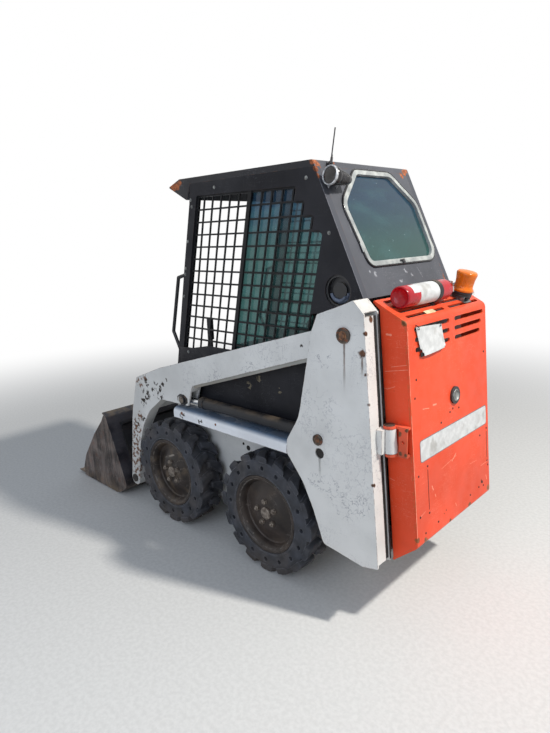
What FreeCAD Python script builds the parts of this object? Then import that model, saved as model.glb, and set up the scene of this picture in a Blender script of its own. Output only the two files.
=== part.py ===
import FreeCAD, Part
import math
import os

Vector = FreeCAD.Vector

# Compact skid steer loader. Millimetres, +X forward, +Y left, +Z up.
# Lengths along X are measured from the rear axle while the pieces are made;
# every piece is then moved so that X = 0 is the middle of the whole machine.

# Stance
WHEEL_BASE = 730.0
TYRE_R = 290.0
TYRE_WIDTH = 145.0
TYRE_OUTER_Y = 436.0
REACH_FRONT = 1796.0
REACH_REAR = 729.0
BUCKET_HALF = 457.0

# Fits
RUN_FIT = 0.06
SEAT_GAP = 0.3

# Tyres and rims
LUG_H = 24.0
LUG_COUNT = 16
LUG_LENGTH = 72.0
LUG_TIP_LENGTH = 34.0
LUG_LEAD = 44.0
LUG_TIP_Y = 6.0
LUG_ROOT = 20.0
SHOULDER_WIDTH = 20.0
SHOULDER_DROP = 18.0
TYRE_FLATS = 24
BEAD_R = 168.0
BEAD_FLANGE_R = 186.0
BEAD_ROOM = 4.0
RIM_WALL = 14.0
RIM_FLANGE_T = 6.5
RIM_LIP = 8.0
RIM_DISC_T = 10.0
DISH_RECESS = 46.0
DISH_R = 124.0
MOUNT_RECESS = 20.0
MOUNT_R = 77.0
CAP_RECESS = 9.5
CAP_R = 28.0
CAP_EDGE = 6.0
NUT_COUNT = 5
NUT_RING_R = 57.0
NUT_R = 13.0
NUT_H = 11.0
SHAFT_R = 30.0
AXLE_TUBE_R = 46.0
AXLE_TUBE_END_Y = 335.0
SHAFT_ENGAGE = 60.0

# Chain cases and belly
CASE_IN_Y = 185.0
CASE_OUT_Y = 255.0
CASE_BOTTOM_Z = 150.0
CASE_TOP_Z = 682.0
CASE_REAR_X = -312.0
ARCH_PLATE_T = 8.0
BELLY_T = 10.0
REAR_FLOOR_Z = 283.0
REAR_FLOOR_X = -600.0
BULKHEAD_X = -180.0
BULKHEAD_TOP_Z = 640.0

# Fenders
FENDER_T = 8.0
FENDER_TOP_Z = 690.0
FENDER_OUT_Y = 441.0
FENDER_LIP_Z = 636.0
FENDER_BEND_R = 26.0
FENDER_FRONT_X = 635.0

# Uprights
PLATE_T = 6.0
UPRIGHT_OUT_Y = 441.0
UPRIGHT_IN_Y = 350.0
FLANGE_WIDTH = 57.0
REAR_EDGE_TOP = (-558.5, 1258.5)
REAR_EDGE_BOTTOM = (-626.8, 277.9)
TIE_HOLE = (-346.0, 683.0)
TIE_HOLE_R = 22.0
WEB_X = -545.0

# Lift arms
ARM_PIVOT = (-471.0, 1176.0)
ARM_PIN_R = 20.0
ARM_IN_Y = 366.0
ARM_OUT_Y = 428.0
ARM_END_R = 46.0
KNEE_PLATE_T = 8.0
LIFT_ROD_PIN = (576.0, 736.0)
LIFT_BASE_PIN = (-341.0, 741.0)
CYL_PIN_R = 16.0
COUPLER_PIVOT = (1100.0, 150.0)
COUPLER_END_R = 42.0
COUPLER_PIN_R = 16.0

# Lift cylinders
LIFT_BARREL_R = 27.0
LIFT_ROD_SHOWN = 130.1
LIFT_END_ROOM = 65.0
LIFT_ROD_R = 16.0
LIFT_ROD_HIDDEN = 575.0
EYE_R = 30.0
LIFT_EYE_WIDTH = 40.0
LIFT_BASE_WIDTH = 54.0
LIFT_NECK = 26.0
GLAND_LENGTH = 30.0
GLAND_RISE = 3.0

# Cross member and tilt cylinder
CROSS_X = (885.0, 975.0)
CROSS_Z = (612.0, 700.0)
TILT_BASE_PIN = (920.0, 560.0)
TILT_EYE = (1136.1, 259.2)
TILT_BARREL_R = 40.0
TILT_ROD_SHOWN = 100.4
TILT_END_ROOM = 44.0
TILT_ROD_R = 19.0
TILT_ROD_HIDDEN = 202.0
TILT_EYE_WIDTH = 52.0
TILT_NECK = 46.0
EAR_PLAY = 2.0
EAR_T = 14.0
EAR_GAP = 2.5

# Coupler and bucket
BACK_FOOT = (1165.0, 80.0)
BACK_TOP = (1340.0, 490.0)
BUCKET_T = 8.0
BUCKET_FLOOR_Z = 6.0
HEEL_X = 1285.0
FLOOR_END_X = 1690.0
EDGE_REAR_X = 1600.0
EDGE_T = 16.0
EDGE_HOLE_R = 8.0
EDGE_HOLE_STEP = 190.0
EDGE_HOLE_COUNT = 5
EDGE_HOLE_X = 1640.0
COUPLER_T = 14.0
COUPLER_HALF = 380.0
COUPLER_FOOT_S = 14.0
COUPLER_HEAD_S = 392.0
COUPLER_EAR_Y = 338.0

# Cab
CAB_HALF = 341.0
CAB_WALL = 30.0
ROOF_Z = 1815.0
ROOF_T = 25.0
ROOF_REAR_X = -253.0
SLOPE_FOOT = (-489.0, 1297.0)
REAR_PANEL_T = 20.0
CAB_BOTTOM_Z = 712.0
CAB_PIVOT = (-452.0, 1260.0)
CAB_PIN_R = 10.0
VENT = (-369.0, 1323.0)
VENT_R = 62.0
SCREEN_T = 6.0
SCREEN_IN_Y = 325.0
SCREEN_BAR = 8.0
SCREEN_PITCH_X = 59.5
SCREEN_PITCH_Z = 57.0
SCREEN_LEAN = -0.23
SCREEN_TOP_Z = 1740.0
SCREEN_LOW_Z = 860.0
RAIL_X = 149.0
RAIL_Z = 1513.0
RAIL_WIDTH = 22.0
RAIL_T = 10.0
PANE_IN_Y = 314.0
SEAL_WIDTH = 12.0
SEAL_LIP = 10.0
SEAL_RISE = 6.0
GLASS_T = 5.0
GLASS_DEPTH = 12.0
AERIAL_AT = (256.0, 22.0)
AERIAL_BASE_H = 16.0
AERIAL_BASE_R = 12.0
AERIAL_LEAN = (-3.0, -24.0, 0.0)
WHIP_R = 2.5
AERIAL_RISE = 132.0
HANDLE_PATH = [(602.0, 1362.0), (662.0, 1347.0), (741.0, 1063.0), (690.0, 965.0)]
HANDLE_R = 9.0
BAR_PIVOT = (-150.0, 1045.0)
BAR_STUB_R = 12.0
BAR_R = 14.0

# Rear door
DOOR_HALF = 325.0
DOOR_T = 8.0
DOOR_TOP_FRONT = (-523.0, 1293.6)
DOOR_BEND = (-662.0, 1220.0)
DOOR_FOOT = (-729.0, 355.0)
DOOR_TOE = (-624.0, 264.0)
HINGE_Z = 780.0
HINGE_X = -622.0
HINGE_Y = 358.0
HINGE_PIN_R = 10.0
KNUCKLE_R = 24.0
KNUCKLE_H = 94.0
KNUCKLE_GAP = 2.0
LEAF_T = 10.0
LEAF_REAR_X = -688.0
LEAF_OUT_Y = 352.0
LEAF_WEB_T = 6.0
LEAF_HOLE_R = 7.0
PIN_HEAD_H = 4.0
WEB_ROOM = 7.0
WELD_ROOM = 12.0
WELD_DEPTH = 31.0
WELD_LAP = 20.0
TOP_SLOT_H = 15.0
REAR_SLOT_H = 17.0
LATCH_Z = 882.0
EXTINGUISHER_R = 41.0
EXTINGUISHER_RISE = 94.0
STRAP_T = 3.0
BEACON_AT = (-600.0, -215.0)
BEACON_BASE_H = 34.0

FRAME_SHIFT = -(REACH_FRONT - REACH_REAR) / 2.0


def side_view(u, v, y=0.0):
    return Vector(u, y, v)


def end_view(u, v, x=0.0):
    return Vector(x, u, v)


def face_of(points, view=side_view, level=0.0):
    """Closed face through (u, v, radius) corners, each rounded by an arc of its radius."""
    edges = []
    count = len(points)
    corners = [(p[0], p[1], p[2] if len(p) > 2 else 0.0) for p in points]
    starts = []
    ends = []
    middles = []
    for i in range(count):
        u, v, radius = corners[i]
        here = Vector(u, v, 0)
        back = Vector(corners[i - 1][0], corners[i - 1][1], 0) - here
        ahead = Vector(corners[(i + 1) % count][0], corners[(i + 1) % count][1], 0) - here
        back.normalize()
        ahead.normalize()
        half = back.getAngle(ahead) / 2.0
        if radius <= 0:
            starts.append(here)
            ends.append(here)
            middles.append(None)
            continue
        reach = radius / math.tan(half)
        bisector = back + ahead
        bisector.normalize()
        centre = here + bisector * (radius / math.sin(half))
        starts.append(here + back * reach)
        ends.append(here + ahead * reach)
        middles.append(centre - bisector * radius)
    for i in range(count):
        if middles[i] is not None:
            arc = [view(p.x, p.y, level) for p in (starts[i], middles[i], ends[i])]
            edges.append(Part.Arc(*arc).toShape())
        a = view(ends[i].x, ends[i].y, level)
        b = view(starts[(i + 1) % count].x, starts[(i + 1) % count].y, level)
        if a.distanceToPoint(b) > 1e-6:
            edges.append(Part.makeLine(a, b))
    return Part.Face(Part.Wire(edges))


def offset_path(points, thickness):
    """Corners of a path moved to its left by a thickness, with their bend radii."""
    moved = []
    last = len(points) - 1
    for i, (u, v, radius) in enumerate(points):
        here = Vector(u, v, 0)
        into = here - Vector(points[i - 1][0], points[i - 1][1], 0) if i else None
        out = Vector(points[i + 1][0], points[i + 1][1], 0) - here if i < last else None
        into = into.normalize() if into else out.normalize()
        out = out.normalize() if out else into
        left_in = Vector(-into.y, into.x, 0)
        left_out = Vector(-out.y, out.x, 0)
        miter = left_in + left_out
        miter = miter * (thickness / (1.0 + left_in.dot(left_out)))
        turn = into.x * out.y - into.y * out.x
        bend = radius - thickness if turn > 0 else radius + thickness
        moved.append((u + miter.x, v + miter.y, max(bend, 0.0) if radius > 0 else 0.0))
    return moved


def sheet_face(points, thickness, view=side_view, level=0.0):
    """Face of a folded sheet: the path is one skin, the other lies to its left."""
    path = [(p[0], p[1], p[2] if len(p) > 2 else 0.0) for p in points]
    return face_of(path + offset_path(path, thickness)[::-1], view, level)


def across(points, y0, y1):
    """Side profile carried across the machine from y0 to y1."""
    return face_of(points, side_view, y0).extrude(Vector(0, y1 - y0, 0))


def sheet_across(points, thickness, y0, y1):
    return sheet_face(points, thickness, side_view, y0).extrude(Vector(0, y1 - y0, 0))


def along(points, x0, x1):
    """End profile carried along the machine from x0 to x1."""
    return face_of(points, end_view, x0).extrude(Vector(x1 - x0, 0, 0))


def block(x0, x1, y0, y1, z0, z1):
    return Part.makeBox(x1 - x0, y1 - y0, z1 - z0, Vector(x0, y0, z0))


def rod_y(at, radius, y0, y1):
    return Part.makeCylinder(radius, y1 - y0, Vector(at[0], y0, at[1]), Vector(0, 1, 0))


def rod(a, b, radius):
    span = b - a
    return Part.makeCylinder(radius, span.Length, a, span)


def pipe(points, radius):
    """Round bar through points, with a ball at each bend."""
    corners = [Vector(*p) for p in points]
    pieces = [rod(a, b, radius) for a, b in zip(corners, corners[1:])]
    pieces += [Part.makeSphere(radius, p) for p in corners[1:-1]]
    return pieces[0].multiFuse(pieces[1:]).removeSplitter()


def fused(pieces):
    return pieces[0].multiFuse(pieces[1:]).removeSplitter()


def mirrored(shape):
    return shape.mirror(Vector(0, 0, 0), Vector(0, 1, 0))


def both_sides(shape):
    return Part.makeCompound([shape, mirrored(shape)])


def between(a, b, share):
    return (a[0] + (b[0] - a[0]) * share, a[1] + (b[1] - a[1]) * share)


def unit(a, b):
    length = math.hypot(b[0] - a[0], b[1] - a[1])
    return ((b[0] - a[0]) / length, (b[1] - a[1]) / length)


# Wheels


def flat_sided(radius, y):
    """Closed ring of flats round the hub axis that touch a circle at their middles."""
    corner = radius / math.cos(math.pi / TYRE_FLATS)
    ring = []
    for i in range(TYRE_FLATS + 1):
        angle = 2.0 * math.pi * i / TYRE_FLATS
        ring.append(Vector(corner * math.sin(angle), y, corner * math.cos(angle)))
    return Part.makePolygon(ring)


def flat_drum(radius, y0, y1):
    return Part.Face(flat_sided(radius, y0)).extrude(Vector(0, y1 - y0, 0))


def carcass():
    """Tyre without its lugs: crown, sloping shoulders, bead bore and flange seats."""
    half = TYRE_WIDTH / 2.0
    crown = TYRE_R - LUG_H
    edge = half - SHOULDER_WIDTH
    seat = half - RIM_FLANGE_T - SEAT_GAP
    body = flat_drum(crown, -edge, edge)
    for side in (-1, 1):
        rings = [flat_sided(crown, side * edge), flat_sided(crown - SHOULDER_DROP, side * half)]
        body = body.fuse(Part.makeLoft(rings, True, True))
    holes = [flat_drum(BEAD_R + SEAT_GAP, -half - 1, half + 1)]
    for side in (-1, 1):
        holes.append(flat_drum(BEAD_FLANGE_R + BEAD_ROOM, side * seat, side * (half + 1)))
    return body.cut(Part.makeCompound(holes))


def lug(side, turn, height):
    """Tread lug, long at the shoulder, with its narrower tip ahead near the middle."""
    half = TYRE_WIDTH / 2.0
    foot = TYRE_R - LUG_H - LUG_ROOT
    plan = [
        (-LUG_LENGTH / 2.0, side * half),
        (LUG_LENGTH / 2.0, side * half),
        (LUG_LEAD + LUG_TIP_LENGTH / 2.0, side * LUG_TIP_Y),
        (LUG_LEAD - LUG_TIP_LENGTH / 2.0, side * LUG_TIP_Y),
    ]
    ring = [Vector(u, y, foot) for u, y in plan]
    body = Part.Face(Part.makePolygon(ring + ring[:1])).extrude(Vector(0, 0, height - foot))
    body.rotate(Vector(0, 0, 0), Vector(0, 1, 0), turn)
    return body


def tyre(axle_x):
    """Solid tyre with two rows of interlocking lugs, hub axis along Y."""
    reach = LUG_LEAD + LUG_TIP_LENGTH / 2.0
    height = math.sqrt(TYRE_R ** 2 - reach ** 2)
    step = 360.0 / LUG_COUNT
    lowest = 180.0 - math.degrees(math.atan2(reach, height))
    lugs = []
    for i in range(LUG_COUNT):
        lugs.append(lug(1, lowest + i * step, height))
        lugs.append(lug(-1, lowest + (i + 0.5) * step, height))
    body = fused([carcass()] + lugs)
    body.translate(Vector(axle_x, TYRE_OUTER_Y - TYRE_WIDTH / 2.0, TYRE_R))
    return body


def rim(axle_x):
    """Dished steel rim with its mounting face, hub cap, nuts and drive shaft."""
    middle = TYRE_OUTER_Y - TYRE_WIDTH / 2.0
    half = TYRE_WIDTH / 2.0
    inner = BEAD_R - RIM_WALL
    dish = half - DISH_RECESS
    mount = half - MOUNT_RECESS
    cap = half - CAP_RECESS
    shaft_end = AXLE_TUBE_END_Y - SHAFT_ENGAGE - middle
    section = [
        (BEAD_FLANGE_R, half),
        (BEAD_FLANGE_R, half - RIM_FLANGE_T),
        (BEAD_R, half - RIM_FLANGE_T),
        (BEAD_R, -half + RIM_FLANGE_T),
        (BEAD_FLANGE_R, -half + RIM_FLANGE_T),
        (BEAD_FLANGE_R, -half),
        (inner, -half),
        (inner, dish - RIM_DISC_T),
        (DISH_R, dish - RIM_DISC_T),
        (MOUNT_R, mount - RIM_DISC_T),
        (SHAFT_R, mount - RIM_DISC_T),
        (SHAFT_R, shaft_end),
        (0.0, shaft_end),
        (0.0, cap),
        (CAP_R - CAP_EDGE, cap),
        (CAP_R, cap - CAP_EDGE),
        (CAP_R, mount),
        (MOUNT_R, mount),
        (DISH_R, dish + 3.0),
        (inner - 10.0, dish),
        (inner, dish + 6.0),
        (inner, half - RIM_LIP * 2.0),
        (inner + RIM_LIP, half),
    ]
    wire = Part.makePolygon([Vector(r, y, 0) for r, y in section + section[:1]])
    body = Part.Face(wire).revolve(Vector(0, 0, 0), Vector(0, 1, 0), 360)
    nuts = []
    for i in range(NUT_COUNT):
        angle = 2.0 * math.pi * i / NUT_COUNT
        at = (NUT_RING_R * math.sin(angle), NUT_RING_R * math.cos(angle))
        nuts.append(six_sided(at, NUT_R, mount - RIM_DISC_T / 2.0, mount + NUT_H))
    body = fused([body] + nuts)
    body.translate(Vector(axle_x, middle, TYRE_R))
    return body


def six_sided(at, radius, y0, y1):
    """Hexagon bar along Y, given by its corner radius."""
    corners = []
    for i in range(6):
        angle = math.radians(60.0 * i)
        corners.append((at[0] + radius * math.sin(angle), at[1] + radius * math.cos(angle)))
    return across(corners, y0, y1)


# Chassis


def chain_case():
    """Left chain case with the plate that closes the rear wheel arch."""
    front = [
        (CASE_REAR_X, CASE_BOTTOM_Z, 0),
        (900, CASE_BOTTOM_Z, 40),
        (942, 300, 40),
        (942, 450, 40),
        (855, 590, 30),
        (855, CASE_TOP_Z, 0),
        (CASE_REAR_X, CASE_TOP_Z, 0),
    ]
    case = across(front, CASE_IN_Y, CASE_OUT_Y)
    arch = block(CASE_REAR_X, CASE_REAR_X + ARCH_PLATE_T, CASE_OUT_Y, UPRIGHT_IN_Y,
                 REAR_FLOOR_Z, CASE_TOP_Z)
    return case.fuse(arch)


def chassis_tub():
    """Chain cases, belly plate, bulkhead and rear floor as the one welded tub."""
    belly_path = [
        (REAR_FLOOR_X, REAR_FLOOR_Z + BELLY_T, 0),
        (-390, REAR_FLOOR_Z + BELLY_T, 30),
        (-300, CASE_BOTTOM_Z + BELLY_T, 30),
        (900, CASE_BOTTOM_Z + BELLY_T, 0),
    ]
    belly = sheet_across(belly_path, -BELLY_T, -CASE_IN_Y, CASE_IN_Y)
    rear_floor = block(REAR_FLOOR_X, -390, -UPRIGHT_IN_Y, UPRIGHT_IN_Y,
                       REAR_FLOOR_Z, REAR_FLOOR_Z + BELLY_T)
    side_floor = block(-400, CASE_REAR_X + ARCH_PLATE_T, CASE_IN_Y, UPRIGHT_IN_Y,
                       REAR_FLOOR_Z, REAR_FLOOR_Z + BELLY_T)
    bulkhead = block(BULKHEAD_X, BULKHEAD_X + BELLY_T, -CASE_IN_Y, CASE_IN_Y,
                     CASE_BOTTOM_Z + BELLY_T, BULKHEAD_TOP_Z)
    toe_board = across([(890, CASE_BOTTOM_Z), (900, CASE_BOTTOM_Z), (935, 300), (925, 300)],
                       -CASE_IN_Y, CASE_IN_Y)
    case = chain_case()
    return fused([belly, rear_floor, side_floor, mirrored(side_floor), bulkhead,
                  toe_board, case, mirrored(case)])


def fender():
    """Left rail: a shelf over the wheels that turns down into a rounded lip."""
    section = [
        (CASE_OUT_Y - 40, FENDER_TOP_Z, 0),
        (FENDER_OUT_Y, FENDER_TOP_Z, FENDER_BEND_R),
        (FENDER_OUT_Y, FENDER_LIP_Z, 0),
    ]
    shelf = sheet_face(section, -FENDER_T, end_view, -165.0)
    return shelf.extrude(Vector(FENDER_FRONT_X + 165.0, 0, 0))


UPRIGHT_OUTLINE = [
    (-345, 1244, 12),
    (-479, 1292, 10),
    (-512, 1306, 8),
    (REAR_EDGE_TOP[0], REAR_EDGE_TOP[1], 6),
    (REAR_EDGE_BOTTOM[0], REAR_EDGE_BOTTOM[1], 6),
    (-554, 261, 20),
    (-359, 287, 20),
    (-308, 424, 120),
    (-254, 533, 120),
    (-167, 640, 20),
    (-169, 700, 30),
    (-239, 814, 200),
    (-295, 1080, 100),
    (-313, 1171, 20),
]


def upright():
    """Upright box: two plates joined by a web, a rear flange, a cap and a foot."""
    outer = across(UPRIGHT_OUTLINE, UPRIGHT_OUT_Y - PLATE_T, UPRIGHT_OUT_Y)
    inner = across(UPRIGHT_OUTLINE, UPRIGHT_IN_Y, UPRIGHT_IN_Y + PLATE_T)
    top, bottom = REAR_EDGE_TOP, REAR_EDGE_BOTTOM
    high = between(top, bottom, 0.01)
    low = between(top, bottom, 0.985)
    flange = across([high, low, (low[0] + PLATE_T, low[1]), (high[0] + PLATE_T, high[1])],
                    UPRIGHT_OUT_Y - FLANGE_WIDTH, UPRIGHT_OUT_Y - PLATE_T)
    web = block(WEB_X, WEB_X + PLATE_T, UPRIGHT_IN_Y + PLATE_T, UPRIGHT_OUT_Y - PLATE_T, 300, 1080)
    cap_path = [(-553, 1263), (-512, 1305), (-494, 1297)]
    cap = sheet_across(cap_path, -PLATE_T, UPRIGHT_IN_Y + PLATE_T, UPRIGHT_OUT_Y - PLATE_T)
    foot_path = [(-556, 262.5), (-375, 286.5)]
    foot = sheet_across(foot_path, PLATE_T, UPRIGHT_IN_Y + PLATE_T, UPRIGHT_OUT_Y - PLATE_T)
    knee = block(WEB_X, -540, UPRIGHT_IN_Y + PLATE_T, UPRIGHT_OUT_Y - PLATE_T, 266, 300)
    body = fused([outer, inner, flange, web, cap, foot, knee])
    holes = [
        rod_y(ARM_PIVOT, ARM_PIN_R + RUN_FIT, UPRIGHT_IN_Y - 1, UPRIGHT_OUT_Y + 1),
        rod_y(LIFT_BASE_PIN, CYL_PIN_R + RUN_FIT, UPRIGHT_IN_Y - 1, UPRIGHT_OUT_Y + 1),
        rod_y(CAB_PIVOT, CAB_PIN_R + RUN_FIT, UPRIGHT_IN_Y - 1, UPRIGHT_IN_Y + PLATE_T + 1),
        rod_y(TIE_HOLE, TIE_HOLE_R, UPRIGHT_OUT_Y - PLATE_T - 1, UPRIGHT_OUT_Y + 1),
    ]
    return body.cut(Part.makeCompound(holes))


def hinged_upright():
    """Left upright with the tube of the rear door's hinge welded to its flange."""
    low, high = HINGE_Z - KNUCKLE_H / 2, HINGE_Z + KNUCKLE_H / 2
    tube = rod(hinge_point(low), hinge_point(high), KNUCKLE_R)
    weld_x = hinge_point(low).x + WELD_ROOM
    weld = block(weld_x, weld_x + WELD_DEPTH, HINGE_Y, UPRIGHT_OUT_Y - FLANGE_WIDTH + WELD_LAP, low, high)
    bore = rod(hinge_point(low - 1), hinge_point(high + 1), HINGE_PIN_R + RUN_FIT)
    return fused([upright(), tube, weld]).cut(bore)


def hinge_point(z):
    lean = (REAR_EDGE_TOP[0] - REAR_EDGE_BOTTOM[0]) / (REAR_EDGE_TOP[1] - REAR_EDGE_BOTTOM[1])
    return Vector(HINGE_X + (z - HINGE_Z) * lean, HINGE_Y, z)


def hinge_leaf(z0):
    """Door flange of the hinge, from the side panel out round the pin."""
    foot, head = hinge_point(z0), hinge_point(z0 + LEAF_T)
    plate = block(LEAF_REAR_X, foot.x, DOOR_HALF + SEAT_GAP, LEAF_OUT_Y, z0, z0 + LEAF_T)
    bore = rod(hinge_point(z0 - 1), hinge_point(z0 + LEAF_T + 1), HINGE_PIN_R + RUN_FIT)
    return plate.fuse(rod(foot, head, KNUCKLE_R)).cut(bore)


def frame_pins():
    """Pivot pins of the arms, lift cylinders and cab, and the rear door's hinge pin."""
    pins = []
    for at, radius, y0, head_r in (
        (ARM_PIVOT, ARM_PIN_R, UPRIGHT_IN_Y - 6, ARM_PIN_R + 10),
        (LIFT_BASE_PIN, CYL_PIN_R, UPRIGHT_IN_Y - 4, CYL_PIN_R + 7),
    ):
        shank = rod_y(at, radius, y0, UPRIGHT_OUT_Y + SEAT_GAP)
        head = rod_y(at, head_r, UPRIGHT_OUT_Y + SEAT_GAP, UPRIGHT_OUT_Y + 8)
        pins.append(shank.fuse(head))
    pins.append(rod_y(CAB_PIVOT, CAB_PIN_R, CAB_HALF - CAB_WALL + 2, UPRIGHT_IN_Y + PLATE_T + 3))
    pairs = [p for pin in pins for p in (pin, mirrored(pin))]
    reach = KNUCKLE_H / 2 + KNUCKLE_GAP + LEAF_T
    low, high = hinge_point(HINGE_Z - reach), hinge_point(HINGE_Z + reach + SEAT_GAP)
    top = hinge_point(HINGE_Z + reach + SEAT_GAP + PIN_HEAD_H)
    pairs.append(rod(low, high, HINGE_PIN_R).fuse(rod(high, top, KNUCKLE_R - PIN_HEAD_H)))
    return Part.makeCompound(pairs)


def engine_block():
    return block(-520, -235, -150, 150, REAR_FLOOR_Z + BELLY_T, 780)


def axle_tubes():
    tubes = []
    for axle_x in (0.0, WHEEL_BASE):
        outer = rod_y((axle_x, TYRE_R), AXLE_TUBE_R, CASE_OUT_Y, AXLE_TUBE_END_Y)
        bore = rod_y((axle_x, TYRE_R), SHAFT_R + RUN_FIT, CASE_OUT_Y + 12, AXLE_TUBE_END_Y + 1)
        flange = rod_y((axle_x, TYRE_R), AXLE_TUBE_R + 26, CASE_OUT_Y, CASE_OUT_Y + 12)
        tube = fused([outer, flange]).cut(bore)
        tubes += [tube, mirrored(tube)]
    return Part.makeCompound(tubes)


def control_levers():
    """Two drive levers with their grips, each on a foot on top of its chain case."""
    foot = block(515, 575, 217, 255, FENDER_TOP_Z, FENDER_TOP_Z + 38)
    stick = pipe([(545, 236, FENDER_TOP_Z + 36), (545, 236, 860), (560, 222, 1030)], 10)
    grip = rod(Vector(560, 222, 1020), Vector(568, 215, 1130), 17)
    return both_sides(fused([foot, stick, grip]))


# Lift arms


ARM_OUTLINE = [
    (-459, 1219, 0),
    (751, 879, 60),
    (988, 792, 26),
    (1058, 593, 120),
    (1076, 518, 120),
    (1141, 146, 0),
    (1059, 146, 0),
    (1033, 300, 200),
    (1008, 402, 120),
    (961, 511, 120),
    (882, 617, 120),
    (760, 704, 60),
    (523, 712, 6),
    (481, 823, 30),
    (-279, 1064, 200),
    (-490, 1134, 0),
]


def knee_pocket():
    """The pocket inside the knee that takes the lift rod's eye, open below and behind."""
    return block(440, LIFT_ROD_PIN[0] + EYE_R + 16, ARM_IN_Y + KNEE_PLATE_T,
                 ARM_OUT_Y - KNEE_PLATE_T, 680, LIFT_ROD_PIN[1] + EYE_R + 22)


def lift_arm():
    """Left lift arm: beam, knee and leg cut as one outline, with its pivot bores."""
    body = fused([
        across(ARM_OUTLINE, ARM_IN_Y, ARM_OUT_Y),
        rod_y(ARM_PIVOT, ARM_END_R, ARM_IN_Y, ARM_OUT_Y),
        rod_y(COUPLER_PIVOT, COUPLER_END_R, ARM_IN_Y, ARM_OUT_Y),
    ])
    holes = [
        rod_y(ARM_PIVOT, ARM_PIN_R + RUN_FIT, ARM_IN_Y - 1, ARM_OUT_Y + 1),
        rod_y(COUPLER_PIVOT, COUPLER_PIN_R + RUN_FIT, ARM_IN_Y - 1, ARM_OUT_Y + 1),
        knee_pocket(),
    ]
    body = body.cut(Part.makeCompound(holes))
    bolt_out = rod_y(LIFT_ROD_PIN, CYL_PIN_R + 4, ARM_OUT_Y, ARM_OUT_Y + 8)
    return body.fuse(bolt_out)


def arm_cross():
    """Cross member between the legs, with the two ears that hold the tilt cylinder."""
    tube = across([(CROSS_X[0], CROSS_Z[0], 14), (CROSS_X[1], CROSS_Z[0], 14),
                   (CROSS_X[1], CROSS_Z[1], 14), (CROSS_X[0], CROSS_Z[1], 14)],
                  -ARM_IN_Y, ARM_IN_Y)
    inside = TILT_EYE_WIDTH / 2 + EAR_GAP
    u, w = TILT_BASE_PIN
    ear = across([(u - 34, CROSS_Z[0] + 8, 0), (u - 30, w - 26, 24), (u + 30, w - 26, 24),
                  (u + 34, CROSS_Z[0] + 8, 0)], inside, inside + EAR_T)
    pin = rod_y(TILT_BASE_PIN, CYL_PIN_R, -inside - 1, inside + 1)
    return fused([tube, ear, mirrored(ear), pin])


# Cylinders


def barrel(foot, eye_at, shown, bore_depth, radius, rod_r, eye_width, neck, y):
    """Cylinder barrel with its base eye on a neck; it ends where the rod starts to show."""
    d = unit(foot, eye_at)
    length = math.dist(foot, eye_at) - shown
    start = Vector(foot[0], y, foot[1])
    axis = Vector(d[0], 0, d[1])
    tube = rod(start + axis * neck, start + axis * (length - GLAND_LENGTH), radius)
    side = (-d[1] * EYE_R * 0.8, d[0] * EYE_R * 0.8)
    low, high = foot, (foot[0] + d[0] * neck, foot[1] + d[1] * neck)
    stem = across([(low[0] - side[0], low[1] - side[1]), (high[0] - side[0], high[1] - side[1]),
                   (high[0] + side[0], high[1] + side[1]), (low[0] + side[0], low[1] + side[1])],
                  y - eye_width / 2, y + eye_width / 2)
    gland = rod(start + axis * (length - GLAND_LENGTH), start + axis * length, radius + GLAND_RISE)
    eye = rod_y(foot, EYE_R, y - eye_width / 2, y + eye_width / 2)
    body = fused([tube, gland, eye, stem])
    bore = rod(start + axis * (length - bore_depth), start + axis * (length + 1), rod_r + RUN_FIT)
    hole = rod_y(foot, CYL_PIN_R + RUN_FIT, y - eye_width, y + eye_width)
    return body.cut(Part.makeCompound([bore, hole]))


def piston_rod(foot, eye_at, length, radius, eye_width, y):
    """Rod with its eye and the pin that the eye carries."""
    d = unit(foot, eye_at)
    end = Vector(eye_at[0], y, eye_at[1])
    axis = Vector(d[0], 0, d[1])
    bar = rod(end - axis * length, end - axis * (EYE_R - 12), radius)
    eye = rod_y(eye_at, EYE_R, y - eye_width / 2, y + eye_width / 2)
    return fused([bar, eye])


def lift_barrel():
    y = (ARM_IN_Y + ARM_OUT_Y) / 2
    return barrel(LIFT_BASE_PIN, LIFT_ROD_PIN, LIFT_ROD_SHOWN, LIFT_ROD_HIDDEN + LIFT_END_ROOM,
                  LIFT_BARREL_R, LIFT_ROD_R, LIFT_BASE_WIDTH, LIFT_NECK, y)


def lift_rod():
    y = (ARM_IN_Y + ARM_OUT_Y) / 2
    return piston_rod(LIFT_BASE_PIN, LIFT_ROD_PIN, LIFT_ROD_SHOWN + LIFT_ROD_HIDDEN, LIFT_ROD_R,
                      LIFT_EYE_WIDTH, y)


def tilt_barrel():
    return barrel(TILT_BASE_PIN, TILT_EYE, TILT_ROD_SHOWN, TILT_ROD_HIDDEN + TILT_END_ROOM,
                  TILT_BARREL_R, TILT_ROD_R, TILT_EYE_WIDTH, TILT_NECK, 0.0)


def tilt_rod():
    return piston_rod(TILT_BASE_PIN, TILT_EYE, TILT_ROD_SHOWN + TILT_ROD_HIDDEN, TILT_ROD_R,
                      TILT_EYE_WIDTH - 2 * EAR_PLAY, 0.0)


# Coupler and bucket


def on_back(s, d):
    """Side-view point s up the bucket's back and d behind its rear skin."""
    t = unit(BACK_FOOT, BACK_TOP)
    return (BACK_FOOT[0] + s * t[0] - d * t[1], BACK_FOOT[1] + s * t[1] + d * t[0])


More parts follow.
